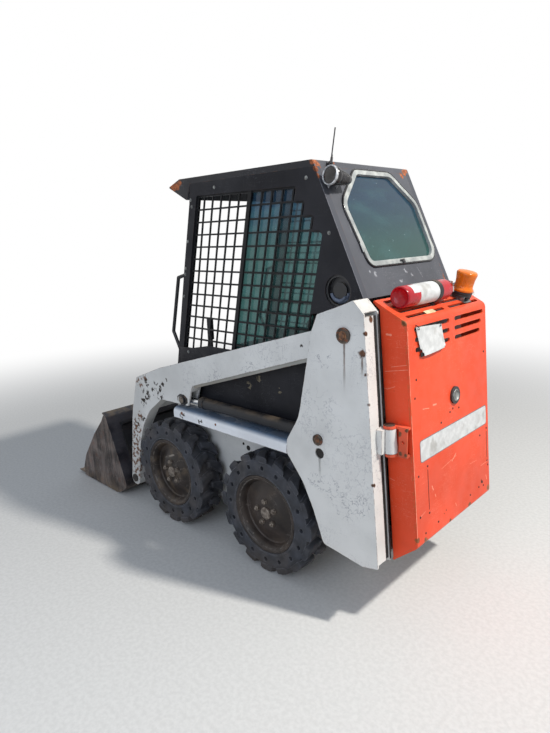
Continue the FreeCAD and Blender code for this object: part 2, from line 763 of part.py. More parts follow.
def coupler_frame():
    """Quick-attach frame: plate, side ears with the pivot pins, and the centre ears."""
    low, high = COUPLER_FOOT_S, COUPLER_HEAD_S
    gap = SEAT_GAP
    plate = across([on_back(low, gap), on_back(high, gap), on_back(high, gap + COUPLER_T),
                    on_back(low, gap + COUPLER_T)], -COUPLER_HALF, COUPLER_HALF)
    hook = across([on_back(high - 30, gap + COUPLER_T), on_back(high, gap + COUPLER_T),
                   on_back(high, gap + 48), on_back(high - 16, gap + 48)],
                  -COUPLER_HALF, COUPLER_HALF)
    hx, hz = COUPLER_PIVOT
    ear_outline = [
        (hx - 30, hz + 6, 28),
        (hx - 6, hz - 34, 28),
        on_back(low, gap + COUPLER_T - 1) + (0,),
        on_back(230, gap + COUPLER_T - 1) + (0,),
        (hx + 10, hz + 44, 24),
    ]
    ear = across(ear_outline, COUPLER_EAR_Y, COUPLER_EAR_Y + 22)
    pin = rod_y(COUPLER_PIVOT, COUPLER_PIN_R, COUPLER_EAR_Y + 4, ARM_OUT_Y + 1)
    cap = rod_y(COUPLER_PIVOT, COUPLER_PIN_R + 8, ARM_OUT_Y + 1, ARM_OUT_Y + 8)
    inside = TILT_EYE_WIDTH / 2 + EAR_GAP
    ex, ez = TILT_EYE
    centre = [
        (ex - 34, ez - 12, 30),
        (ex - 26, ez - 44, 20),
        on_back(60, gap + COUPLER_T - 1) + (0,),
        on_back(300, gap + COUPLER_T - 1) + (0,),
        (ex - 14, ez + 40, 30),
    ]
    tang = across(centre, inside, inside + EAR_T)
    eye_hole = rod_y(TILT_EYE, CYL_PIN_R + RUN_FIT, -inside - EAR_T - 1, inside + EAR_T + 1)
    wings = [w for piece in (ear, pin, cap, tang) for w in (piece, mirrored(piece))]
    return fused([plate, hook] + wings).cut(eye_hole)


def coupler_levers():
    """The two hand levers that lock the bucket to the coupler."""
    root, a, b, c = on_back(330, SEAT_GAP + COUPLER_T), on_back(330, 44), on_back(392, 76), on_back(300, 96)
    boss = rod(Vector(root[0], 250, root[1]), Vector(a[0], 250, a[1]), 13)
    lever = pipe([(a[0], 250, a[1]), (b[0], 262, b[1]), (c[0], 300, c[1])], 9)
    return both_sides(fused([boss, lever]))


def bucket_shell():
    """Dirt bucket: floor, heel, back and lip folded from one sheet, with its two sides."""
    path = [
        (FLOOR_END_X, BUCKET_FLOOR_Z, 0),
        (HEEL_X, BUCKET_FLOOR_Z, 60),
        (1222, 34, 60),
        (BACK_FOOT[0], BACK_FOOT[1], 40),
        (BACK_TOP[0], BACK_TOP[1], 20),
        (1392, 506, 0),
    ]
    inner_y = BUCKET_HALF - BUCKET_T
    skin = sheet_across(path, -BUCKET_T, -inner_y, inner_y)
    side = across([
        (1700, BUCKET_FLOOR_Z, 0),
        (HEEL_X, BUCKET_FLOOR_Z, 60),
        (1222, 34, 60),
        (BACK_FOOT[0], BACK_FOOT[1], 40),
        (BACK_TOP[0], BACK_TOP[1], 20),
        (1366, 497, 6),
        (1400, 450, 30),
        (1513, 338, 200),
        (1660, 158, 60),
        (1706, 60, 20),
    ], inner_y, BUCKET_HALF)
    shell = fused([skin, side, mirrored(side)])
    return shell.cut(Part.makeCompound(edge_holes()))


def edge_holes():
    start = -(EDGE_HOLE_COUNT - 1) / 2.0
    ys = [(start + i) * EDGE_HOLE_STEP for i in range(EDGE_HOLE_COUNT)]
    return [Part.makeCylinder(EDGE_HOLE_R, 60, Vector(EDGE_HOLE_X, y, -10)) for y in ys]


def cutting_edge():
    """Bevelled wear edge on top of the bucket's floor, with its row of bolt holes."""
    z0 = BUCKET_FLOOR_Z + BUCKET_T + SEAT_GAP
    bar = across([(EDGE_REAR_X, z0), (REACH_FRONT, z0), (REACH_FRONT, z0 + 4),
                  (REACH_FRONT - 34, z0 + EDGE_T), (EDGE_REAR_X, z0 + EDGE_T)],
                 -BUCKET_HALF + BUCKET_T + SEAT_GAP, BUCKET_HALF - BUCKET_T - SEAT_GAP)
    return bar.cut(Part.makeCompound(edge_holes()))


# Cab


def slope_x(z):
    """X of the cab's sloping rear face at a height."""
    lean = (ROOF_REAR_X - SLOPE_FOOT[0]) / (ROOF_Z - SLOPE_FOOT[1])
    return SLOPE_FOOT[0] + (z - SLOPE_FOOT[1]) * lean


def cab_roof():
    """Roof plate with the visor that overhangs the open front."""
    under = ROOF_Z - ROOF_T
    return across([(slope_x(under), under, 0), (ROOF_REAR_X, ROOF_Z, 8), (578, ROOF_Z + 2, 12),
                   (668, 1785, 4), (530, 1716, 6), (500, under, 0)], -CAB_HALF, CAB_HALF)


SCREEN_OUTLINE = [
    (455, 1732, 14),
    (-168, 1725, 10),
    (-158, 1668, 0),
    (-211, 1668, 10),
    (-201, 1611, 0),
    (-257, 1611, 10),
    (-245, 1553, 0),
    (-300, 1553, 20),
    (-198, 1100, 14),
    (669, 880, 14),
]


def cab_side():
    """Left cab wall with the screen opening, the round vent and the pivot hole."""
    under = ROOF_Z - ROOF_T
    wall = across([
        (slope_x(under), under, 0),
        (499, under, 0),
        (512, 1703, 20),
        (595, 1368, 400),
        (701, 912, 400),
        (750, CAB_BOTTOM_Z, 14),
        (-170, CAB_BOTTOM_Z, 0),
        (-215, 1226, 40),
        (-470, 1240, 24),
        (SLOPE_FOOT[0], SLOPE_FOOT[1], 14),
    ], CAB_HALF - CAB_WALL, CAB_HALF)
    window = across(SCREEN_OUTLINE, CAB_HALF - CAB_WALL - 1, CAB_HALF + 1)
    holes = [
        window,
        rod_y(VENT, VENT_R, CAB_HALF - CAB_WALL - 1, CAB_HALF + 1),
        rod_y(CAB_PIVOT, CAB_PIN_R + RUN_FIT, CAB_HALF - CAB_WALL - 1, CAB_HALF + 1),
        rod_y(BAR_PIVOT, BAR_STUB_R + RUN_FIT, CAB_HALF - CAB_WALL - 1, CAB_HALF - 8),
    ]
    return wall.cut(Part.makeCompound(holes))


def slope_view(y, s, out=0.0):
    """Point on the rear slope: y across, s down from the roof edge, out behind the face."""
    d = unit((ROOF_REAR_X, ROOF_Z), SLOPE_FOOT)
    return Vector(ROOF_REAR_X + d[0] * s + out * d[1], y, ROOF_Z + d[1] * s - out * d[0])


def slope_out():
    d = unit((ROOF_REAR_X, ROOF_Z), SLOPE_FOOT)
    return Vector(d[1], 0, -d[0])


WINDOW_OUTLINE = [
    # y, distance down the slope and corner radius of the seal's outer edge
    (99, 29, 50),
    (264, 177, 90),
    (230, 449, 45),
    (-307, 449, 75),
    (-306, 170, 70),
    (-165, 29, 60),
]


def window_slab(grow, out0, out1):
    """Prism of the rear window's outline, grown by a margin, between two depths."""
    face = face_of(WINDOW_OUTLINE, slope_view, out0)
    if abs(grow) > 0:
        face = Part.Face(face.OuterWire.makeOffset2D(grow))
    return face.extrude(slope_out() * (out1 - out0))


def cab_rear_panel():
    """Sloping rear wall between the cab sides, with the window cut out."""
    top_z = ROOF_Z - ROOF_T
    face = [
        (slope_x(top_z), top_z),
        (SLOPE_FOOT[0], SLOPE_FOOT[1]),
        (SLOPE_FOOT[0] + REAR_PANEL_T, SLOPE_FOOT[1] - 10),
        (slope_x(top_z) + REAR_PANEL_T * 1.1, top_z),
    ]
    panel = across(face, -CAB_HALF + CAB_WALL, CAB_HALF - CAB_WALL)
    return panel.cut(window_slab(-SEAL_LIP, -60, 40))


def rear_window_seal():
    """Rubber seal round the rear window with an outer lip on the panel."""
    core = window_slab(-SEAL_LIP - SEAT_GAP, -REAR_PANEL_T - 2, SEAT_GAP)
    lip = window_slab(0, SEAT_GAP, SEAT_GAP + SEAL_RISE)
    hole = window_slab(-SEAL_LIP - SEAL_WIDTH, -60, 40)
    return core.fuse(lip).removeSplitter().cut(hole)


def rear_window_glass():
    return window_slab(-SEAL_LIP - SEAL_WIDTH - SEAT_GAP, -GLASS_DEPTH, GLASS_T - GLASS_DEPTH)


def cab_seat_panel():
    """Shelf over the engine, wall behind the seat and seat pan, folded from one sheet."""
    path = [
        (SLOPE_FOOT[0] + 22, SLOPE_FOOT[1] - 14, 0),
        (-462, 1262, 14),
        (-230, 1250, 30),
        (-184, CAB_BOTTOM_Z + 8, 16),
        (330, CAB_BOTTOM_Z + 8, 0),
    ]
    inner = CAB_HALF - CAB_WALL - SEAT_GAP
    return sheet_across(path, 6.0, -inner, inner)


def leaning_bar(middle, width, y0, thick):
    """Upright flat bar that leans with the cab's front post, placed by its x at the rail's height."""
    low = middle + (SCREEN_LOW_Z - RAIL_Z) * SCREEN_LEAN
    high = middle + (SCREEN_TOP_Z - RAIL_Z) * SCREEN_LEAN
    half = width / 2.0
    return across([(low - half, SCREEN_LOW_Z), (low + half, SCREEN_LOW_Z),
                   (high + half, SCREEN_TOP_Z), (high - half, SCREEN_TOP_Z)], y0, y0 + thick)


def side_screens():
    """Grids of flat bars with a broad rail, filling the openings of both cab walls."""
    opening = across(SCREEN_OUTLINE, SCREEN_IN_Y, SCREEN_IN_Y + RAIL_T)
    sheet = across(SCREEN_OUTLINE, SCREEN_IN_Y, SCREEN_IN_Y + SCREEN_T)
    rim_in = face_of(SCREEN_OUTLINE, side_view, SCREEN_IN_Y).OuterWire.makeOffset2D(-SCREEN_BAR)
    frame_ring = sheet.cut(Part.Face(rim_in).extrude(Vector(0, SCREEN_T, 0)))
    bars = [leaning_bar(RAIL_X, RAIL_WIDTH, SCREEN_IN_Y, RAIL_T)]
    for side in (-1, 1):
        for i in range(1, 7):
            middle = RAIL_X + side * (RAIL_WIDTH / 2.0 + i * SCREEN_PITCH_X)
            bars.append(leaning_bar(middle, SCREEN_BAR, SCREEN_IN_Y, SCREEN_T))
    z = SCREEN_OUTLINE[2][1]
    while z > SCREEN_LOW_Z + SCREEN_BAR:
        bars.append(block(SCREEN_OUTLINE[7][0], SCREEN_OUTLINE[9][0], SCREEN_IN_Y, SCREEN_IN_Y + SCREEN_T,
                          z - SCREEN_BAR / 2.0, z + SCREEN_BAR / 2.0))
        z -= SCREEN_PITCH_Z
    grid = fused(bars).common(opening)
    screen = fused([grid, frame_ring])
    return both_sides(screen)


def side_glass():
    """Panes behind the screens, from the broad rail back to the rear end of the openings."""
    whole = face_of(SCREEN_OUTLINE, side_view, PANE_IN_Y).OuterWire.makeOffset2D(-SEAT_GAP)
    pane = Part.Face(whole).extrude(Vector(0, GLASS_T, 0))
    ahead = leaning_bar(RAIL_X + 500.0, 1000.0, PANE_IN_Y - 1, GLASS_T + 2)
    return both_sides(pane.cut(ahead))


def seat_cushion():
    return across([(-130, CAB_BOTTOM_Z + 14.6, 8), (326, CAB_BOTTOM_Z + 14.6, 20),
                   (330, 815, 40), (-120, 800, 20)], -215, 215)


def seat_back():
    return across([(-128, 800.1, 12), (-30, 803.4, 20), (-86, 1190, 30), (-172, 1190, 30)], -215, 215)


def seat_bar():
    """Padded bar across the operator's lap, hinged in the cab walls."""
    y = CAB_HALF - CAB_WALL - 24
    front = (330.0, 1010.0)
    left = [(BAR_PIVOT[0], y, BAR_PIVOT[1]), (front[0] - 40, y, front[1]), (front[0], y - 40, front[1])]
    right = [(px, -py, pz) for px, py, pz in reversed(left)]
    bar = pipe(left + right, BAR_R)
    stub = rod_y(BAR_PIVOT, BAR_STUB_R, y, CAB_HALF - 12)
    return fused([bar, stub, mirrored(stub)])


def cab_vents():
    """Round vent inserts in the cab walls: a collar with a dished cover inside."""
    y1 = CAB_HALF - 6
    collar = rod_y(VENT, VENT_R - SEAT_GAP, CAB_HALF - CAB_WALL, y1)
    hollow = rod_y(VENT, VENT_R - 8, CAB_HALF - CAB_WALL + 6, y1 + 1)
    boss = rod_y(VENT, VENT_R - 30, CAB_HALF - CAB_WALL, y1 - 8)
    return both_sides(fused([collar.cut(hollow), boss]))


LAMP_SECTION = [
    # radius and distance back from the lens
    (0, 0), (30, 1), (44, 4), (44, 0), (49, 0), (50, 14), (45, 18), (41, 40), (36, 42), (36, 46),
    (39, 46), (38, 54), (33, 54), (33, 59), (36, 59), (35, 67), (30, 67), (30, 72), (33, 72),
    (32, 80), (27, 80), (27, 85), (30, 85), (29, 93), (23, 95), (20, 118), (0, 120),
]
# y, distance down the slope and height off it
LAMP_LENS = (318.0, 80.0, 53.0)
LAMP_BACK = (196.0, 98.0, 44.0)
LAMP_FOOT_BACK = 32.0
LAMP_FOOT_HALF = (26.0, 20.0)
LAMP_FOOT_T = 6.0
LAMP_STEM_HALF = (9.0, 12.0)
LAMP_STEM_H = 30.0


def work_lamp():
    """Round lamp with a ribbed body, lying across the top left of the rear slope."""
    lens, back = slope_view(*LAMP_LENS), slope_view(*LAMP_BACK)
    wire = Part.makePolygon([Vector(r, 0, t) for r, t in LAMP_SECTION + LAMP_SECTION[:1]])
    body = Part.Face(wire).revolve(Vector(0, 0, 0), Vector(0, 0, 1), 360)
    body.Placement = FreeCAD.Placement(lens, FreeCAD.Rotation(Vector(0, 0, 1), back - lens))
    y, s = LAMP_LENS[0] - LAMP_FOOT_BACK, LAMP_LENS[1]
    wide, deep = LAMP_FOOT_HALF
    plate = slope_block(y - wide, y + wide, s - deep, s + deep, SEAT_GAP, LAMP_FOOT_T)
    wide, deep = LAMP_STEM_HALF
    stem = slope_block(y - wide, y + wide, s - deep, s + deep, LAMP_FOOT_T, LAMP_STEM_H)
    return fused([body, plate, stem])


def slope_block(y0, y1, s0, s1, out0, out1):
    corners = [(y0, s0), (y1, s0), (y1, s1), (y0, s1)]
    return face_of(corners, slope_view, out0).extrude(slope_out() * (out1 - out0))


def antenna():
    foot = slope_view(AERIAL_AT[0], AERIAL_AT[1], SEAT_GAP)
    head = foot + slope_out() * AERIAL_BASE_H
    base = rod(foot, head, AERIAL_BASE_R)
    whip = rod(head - slope_out() * WHIP_R, head + Vector(*AERIAL_LEAN) + Vector(0, 0, AERIAL_RISE), WHIP_R)
    return fused([base, whip])


def grab_handles():
    """Bent bars in front of the cab's front posts."""
    y = CAB_HALF - CAB_WALL / 2
    handle = pipe([(x, y, z) for x, z in HANDLE_PATH], HANDLE_R)
    wall = cab_side()
    return both_sides(handle.cut(wall))


# Rear door


def door_path():
    return [
        (DOOR_TOP_FRONT[0], DOOR_TOP_FRONT[1], 0),
        (DOOR_BEND[0], DOOR_BEND[1], 30),
        (DOOR_FOOT[0], DOOR_FOOT[1], 20),
        (DOOR_TOE[0], DOOR_TOE[1], 0),
    ]


REAR_SLOTS = [
    # y of the two ends, and height of the slot's middle on the rear face
    (278, 10, 1190),
    (-35, -296, 1190),
    (275, 10, 1152),
    (-33, -276, 1152),
    (275, 10, 1114),
    (-33, -262, 1114),
]

TOP_SLOTS = [
    # y of the two ends, and distance from the bend up the top cover
    (283, 0, 32),
    (-38, -300, 32),
    (283, 0, 67),
    (-38, -300, 67),
    (283, 0, 101),
    (-38, -300, 101),
    (283, 0, 135),
    (-38, -300, 135),
]


def rear_out():
    """Direction out of the rear face."""
    down = unit(DOOR_BEND, DOOR_FOOT)
    return Vector(down[1], 0, -down[0])


def rear_face_point(y, z, out):
    """Point off the rear face's skin, given by its height."""
    at = between(DOOR_BEND, DOOR_FOOT, (DOOR_BEND[1] - z) / (DOOR_BEND[1] - DOOR_FOOT[1]))
    return Vector(at[0], y, at[1]) + rear_out() * out


def top_out():
    """Direction out of the top cover."""
    up = unit(DOOR_BEND, DOOR_TOP_FRONT)
    return Vector(-up[1], 0, up[0])


def top_cover_point(rise, y, out):
    """Point off the top cover's skin, given by its distance up from the bend."""
    up = unit(DOOR_BEND, DOOR_TOP_FRONT)
    return Vector(DOOR_BEND[0] + up[0] * rise, y, DOOR_BEND[1] + up[1] * rise) + top_out() * out


def slot_tool(y0, y1, at, direction, height):
    """Round-ended slot cutter, long across the machine, through a sheet at a point."""
    half = height / 2.0
    low, high = sorted((y0, y1))
    body = Part.makeBox(high - low - height, 60, height, Vector(-(high - low - height) / 2, -30, -half))
    tool = body
    for end in (-1, 1):
        tool = tool.fuse(Part.makeCylinder(half, 60, Vector(end * (high - low - height) / 2, -30, 0),
                                           Vector(0, 1, 0)))
    x_dir = Vector(0, 1, 0)
    turn = FreeCAD.Rotation(x_dir, direction, x_dir.cross(direction), "XYZ")
    tool.Placement = FreeCAD.Placement(Vector(at.x, (low + high) / 2, at.z), turn)
    return tool


def door_shell():
    """Door skin: top cover, rear face and toe folded from one sheet, with its slots."""
    shell = sheet_across(door_path(), DOOR_T, -DOOR_HALF, DOOR_HALF)
    tools = []
    for y0, y1, z in REAR_SLOTS:
        at = rear_face_point(0, z, 0)
        tools.append(slot_tool(y0, y1, at, rear_out(), REAR_SLOT_H))
    for y0, y1, rise in TOP_SLOTS:
        at = top_cover_point(rise, 0, 0)
        tools.append(slot_tool(y0, y1, at, top_out(), TOP_SLOT_H))
    return shell.cut(Part.makeCompound(tools))


def door_sides():
    """Side panels inside the ends of the folded skin."""
    path = offset_path(door_path(), DOOR_T + SEAT_GAP)
    front = [(DOOR_TOE[0] + 2, DOOR_TOE[1] + 12, 0), (-548, 1262, 0)]
    outline = path + front
    panel = across(outline, DOOR_HALF - DOOR_T, DOOR_HALF)
    return both_sides(panel)


def door_hinge():
    """Channel on the door's left side: two flanges round the pin and a web with a hole."""
    half = KNUCKLE_H / 2 + KNUCKLE_GAP
    low, high = HINGE_Z - half - LEAF_T, HINGE_Z + half
    web_x = HINGE_X - KNUCKLE_R - WEB_ROOM
    web = block(LEAF_REAR_X, web_x, LEAF_OUT_Y - LEAF_WEB_T, LEAF_OUT_Y, low, high + LEAF_T)
    hole = rod_y(((LEAF_REAR_X + web_x) / 2, HINGE_Z), LEAF_HOLE_R, LEAF_OUT_Y - LEAF_WEB_T - 1,
                 LEAF_OUT_Y + 1)
    return fused([hinge_leaf(low), hinge_leaf(high), web]).cut(hole)


def door_latch():
    """Lock ring with its barrel in the middle of the rear face."""
    out = rear_out()
    centre = rear_face_point(-11, LATCH_Z, SEAT_GAP)
    ring = Part.makeCylinder(36, 8, centre, out).cut(Part.makeCylinder(26, 20, centre - out * 2, out))
    plug = Part.makeCylinder(26, 3, centre, out)
    return fused([ring, plug])


def extinguisher_axis():
    at = top_cover_point(EXTINGUISHER_RISE, 0, STRAP_T + SEAT_GAP + EXTINGUISHER_R)
    return (at.x, at.z)


def extinguisher():
    """Small extinguisher lying across the top cover, valve to the right."""
    at = extinguisher_axis()
    body = rod_y(at, EXTINGUISHER_R, -60, 275)
    shoulder = Part.makeCone(EXTINGUISHER_R, 16, 30, Vector(at[0], -60, at[1]), Vector(0, -1, 0))
    valve = rod_y(at, 14, -126, -88)
    handle = block(at[0] - 8, at[0] + 8, -140, -104, at[1], at[1] + 34)
    return fused([body, shoulder, valve, handle])


def extinguisher_strap():
    """Band round the extinguisher with the foot that holds it on the cover."""
    at = extinguisher_axis()
    band = rod_y(at, EXTINGUISHER_R + SEAT_GAP + STRAP_T, 20, 44)
    a, b = top_cover_point(EXTINGUISHER_RISE - 30, 0, 0), top_cover_point(EXTINGUISHER_RISE + 30, 0, 0)
    foot = sheet_across([(a.x, a.z), (b.x, b.z)], STRAP_T + 3, 20, 44)
    return fused([band, foot]).cut(rod_y(at, EXTINGUISHER_R + SEAT_GAP, 10, 54))


def beacon_base():
    rise = (BEACON_AT[0] - DOOR_BEND[0]) / unit(DOOR_BEND, DOOR_TOP_FRONT)[0]
    foot = top_cover_point(rise, BEACON_AT[1], 0)
    return rod(foot, foot + top_out() * BEACON_BASE_H, 42)


def beacon_dome():
    rise = (BEACON_AT[0] - DOOR_BEND[0]) / unit(DOOR_BEND, DOOR_TOP_FRONT)[0]
    foot = top_cover_point(rise, BEACON_AT[1], BEACON_BASE_H)
    return Part.makeCone(38, 44, 70, foot, top_out())


def build():
    left = {
        "lift_barrel": lift_barrel(),
        "lift_rod": lift_rod(),
        "tyre_rear": tyre(0.0),
        "tyre_front": tyre(WHEEL_BASE),
        "rim_rear": rim(0.0),
        "rim_front": rim(WHEEL_BASE),
    }
    nodes = {
        "chassis_tub": chassis_tub(),
        "fenders": both_sides(fender()),
        "uprights": Part.makeCompound([hinged_upright(), mirrored(upright())]),
        "lift_arms": both_sides(lift_arm()),
        "cab_sides": both_sides(cab_side()),
        "engine_block": engine_block(),
        "axle_tubes": axle_tubes(),
        "frame_pins": frame_pins(),
        "control_levers": control_levers(),
        "arm_cross_member": arm_cross(),
        "tilt_barrel": tilt_barrel(),
        "tilt_rod": tilt_rod(),
        "coupler_frame": coupler_frame(),
        "coupler_levers": coupler_levers(),
        "bucket_shell": bucket_shell(),
        "cutting_edge": cutting_edge(),
        "cab_roof": cab_roof(),
        "cab_rear_panel": cab_rear_panel(),
        "cab_seat_panel": cab_seat_panel(),
        "rear_window_seal": rear_window_seal(),
        "rear_window_glass": rear_window_glass(),
        "side_screens": side_screens(),
        "side_glass": side_glass(),
        "cab_vents": cab_vents(),
        "seat_cushion": seat_cushion(),
        "seat_back": seat_back(),
        "seat_bar": seat_bar(),
        "work_lamp": work_lamp(),
        "antenna": antenna(),
        "grab_handles": grab_handles(),
        "door_shell": door_shell(),
        "door_sides": door_sides(),
        "door_hinge": door_hinge(),
        "door_latch": door_latch(),
        "extinguisher": extinguisher(),
        "extinguisher_strap": extinguisher_strap(),
        "beacon_base": beacon_base(),
        "beacon_dome": beacon_dome(),
    }
    for name, shape in left.items():
        nodes[name + "_left"] = shape
        nodes[name + "_right"] = mirrored(shape)
    return nodes


def main():
    os.makedirs("parts", exist_ok=True)
    for name, shape in build().items():
        piece = shape.copy()
        piece.translate(Vector(FRAME_SHIFT, 0, 0))
        piece.exportStep("parts/" + name + ".step")
        box = piece.BoundBox
        print(name, len(piece.Solids), piece.isValid(), round(piece.Volume / 1e6, 2),
              [round(v) for v in (box.XMin, box.XMax, box.YMin, box.YMax, box.ZMin, box.ZMax)])


main()
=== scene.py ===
"""Looks of the compact loader: its finishes, tyres, rims, door trim, cab trim, seat and stage."""
import math

import bmesh
import bpy
from bpy.props import FloatProperty, FloatVectorProperty, IntProperty, PointerProperty
from mathutils import Matrix, Vector


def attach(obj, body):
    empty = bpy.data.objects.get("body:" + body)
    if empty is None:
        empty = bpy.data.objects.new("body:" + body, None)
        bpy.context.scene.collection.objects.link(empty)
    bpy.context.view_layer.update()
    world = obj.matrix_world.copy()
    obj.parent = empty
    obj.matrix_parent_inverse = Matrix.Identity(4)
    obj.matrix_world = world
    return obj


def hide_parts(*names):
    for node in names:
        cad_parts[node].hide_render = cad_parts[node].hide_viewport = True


bl_info = {
    "name": "Compact Loader Looks",
    "version": (1, 0, 0),
    "blender": (4, 5, 0),
    "location": "View3D > Sidebar > Loader",
    "description": "Finishes, tyres, trim and stage for the compact loader",
    "category": "Object",
}

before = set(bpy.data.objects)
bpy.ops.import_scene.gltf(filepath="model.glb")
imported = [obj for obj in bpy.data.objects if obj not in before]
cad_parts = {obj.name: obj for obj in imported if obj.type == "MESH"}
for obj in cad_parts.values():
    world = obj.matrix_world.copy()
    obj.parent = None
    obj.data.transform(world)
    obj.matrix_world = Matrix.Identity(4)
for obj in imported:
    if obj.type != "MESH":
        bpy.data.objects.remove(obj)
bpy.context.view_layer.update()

# The drawings measure along the machine from the rear axle, in millimetres
REAR_AXLE_X = 533.5
WHEEL_BASE = 730.0
AXLE_Z = 290.0
WHEEL_MIDDLE_Y = 363.5
CORNERS = ("front_left", "front_right", "rear_left", "rear_right")


def at(x, y, z):
    """Frame position of a drawing point."""
    return Vector(((x - REAR_AXLE_X) / 1000.0, y / 1000.0, z / 1000.0))


def mm(length):
    return length / 1000.0


def srgb(red, green, blue):
    """Linear colour of screen values from 0 to 255."""
    def linear(value):
        value /= 255.0
        return value / 12.92 if value <= 0.04045 else ((value + 0.055) / 1.055) ** 2.4
    return (linear(red), linear(green), linear(blue), 1.0)


def colour_prop(name, description, red, green, blue):
    return FloatVectorProperty(name=name, description=description, subtype="COLOR", size=4,
                               min=0.0, max=1.0, default=srgb(red, green, blue))


def length_prop(name, description, default):
    return FloatProperty(name=name, description=description, default=default, min=0.0,
                         subtype="DISTANCE", unit="LENGTH")


# Settings


class LoaderColours(bpy.types.PropertyGroup):
    white: colour_prop("White paint", "Arms, uprights and lower frame", 214, 213, 210)
    rail: colour_prop("Rail paint", "Glossy rail over the wheels", 226, 228, 232)
    orange: colour_prop("Door paint", "Rear door and its hinge", 230, 76, 40)
    charcoal: colour_prop("Cab paint", "Cab roof and rear panel", 74, 76, 83)
    # Cab paint darkened as painted shade, for the cab sides, the roof's side faces and the panel under the seat
    side_shade: colour_prop("Cab side shade", "Cab sides and the panel under the seat", 30, 30, 35)
    rubber: colour_prop("Tyre rubber", "Solid tyres", 52, 54, 60)
    dust: colour_prop("Dust", "Dry dirt on tyres, belly and ledges", 128, 110, 88)
    rust: colour_prop("Rust", "Rust spots, runs and bare edges", 122, 64, 34)
    amber: colour_prop("Beacon lens", "Amber dome", 246, 122, 8)
    red: colour_prop("Extinguisher", "Gloss red bottle", 180, 3, 26)


class LoaderTyre(bpy.types.PropertyGroup):
    radius: length_prop("Radius", "Over the lugs", 0.290)
    tread_radius: length_prop("Tread base", "Between the lugs", 0.264)
    half_width: length_prop("Half width", "Middle of the tyre to its sidewall", 0.0725)
    lugs: IntProperty(name="Lugs a side", description="Tread lugs and cushion holes on each side",
                      default=16, min=8, max=32)
    hole_ring: length_prop("Hole ring", "Radius of the ring of cushion holes", 0.2285)
    hole_radius: length_prop("Hole size", "Radius of a cushion hole", 0.0100)
    lug_width: length_prop("Lug length", "Along the tread at the shoulder", 0.072)
    lug_tip: length_prop("Lug tip", "Along the tread near the middle", 0.034)
    lug_lead: length_prop("Lug lead", "How far the tip lies ahead of the shoulder", 0.044)


class LoaderRim(bpy.types.PropertyGroup):
    nut_ring: length_prop("Nut ring", "Radius of the ring of wheel nuts", 0.057)
    nut_radius: length_prop("Nut size", "Over the corners of a nut", 0.0132)
    nuts: IntProperty(name="Nuts", description="Wheel nuts", default=5, min=3, max=10)


class LoaderDoor(bpy.types.PropertyGroup):
    screw_radius: length_prop("Screw head", "Small screws in the rear face", 0.0045)
    ring_radius: length_prop("Lock ring", "Outer radius of the black ring", 0.037)


class LoaderSeat(bpy.types.PropertyGroup):
    swell: length_prop("Swell", "Most that the padding moves out", 0.012)
    pressure: FloatProperty(name="Pressure", description="Air pressure that fills the pads",
                            default=4.0, min=0.0, max=20.0)


class LoaderStage(bpy.types.PropertyGroup):
    key_power: FloatProperty(name="Key light", description="Strength of the sun lamp", default=385.0,
                             min=0.0, subtype="POWER", unit="POWER")
    fill_power: FloatProperty(name="Fill light", description="Strength of the soft side lamp",
                              default=70.0, min=0.0, subtype="POWER", unit="POWER")
    sky: FloatProperty(name="Surround", description="Light from all round", default=0.42, min=0.0, max=2.0)
    camera_place: FloatVectorProperty(name="Camera", description="Where the camera stands", size=3,
                                      default=(-2.2064, 2.0396, 1.5424), subtype="TRANSLATION")


class LoaderLooks(bpy.types.PropertyGroup):
    colours: PointerProperty(type=LoaderColours, name="Colours", description="Paints and plastics")
    tyre: PointerProperty(type=LoaderTyre, name="Tyre", description="Solid tyre")
    rim: PointerProperty(type=LoaderRim, name="Rim", description="Wheel rim")
    door: PointerProperty(type=LoaderDoor, name="Door", description="Rear door trim")
    seat: PointerProperty(type=LoaderSeat, name="Seat", description="Operator's seat")
    stage: PointerProperty(type=LoaderStage, name="Stage", description="Floor, lights and camera")


# Finishes


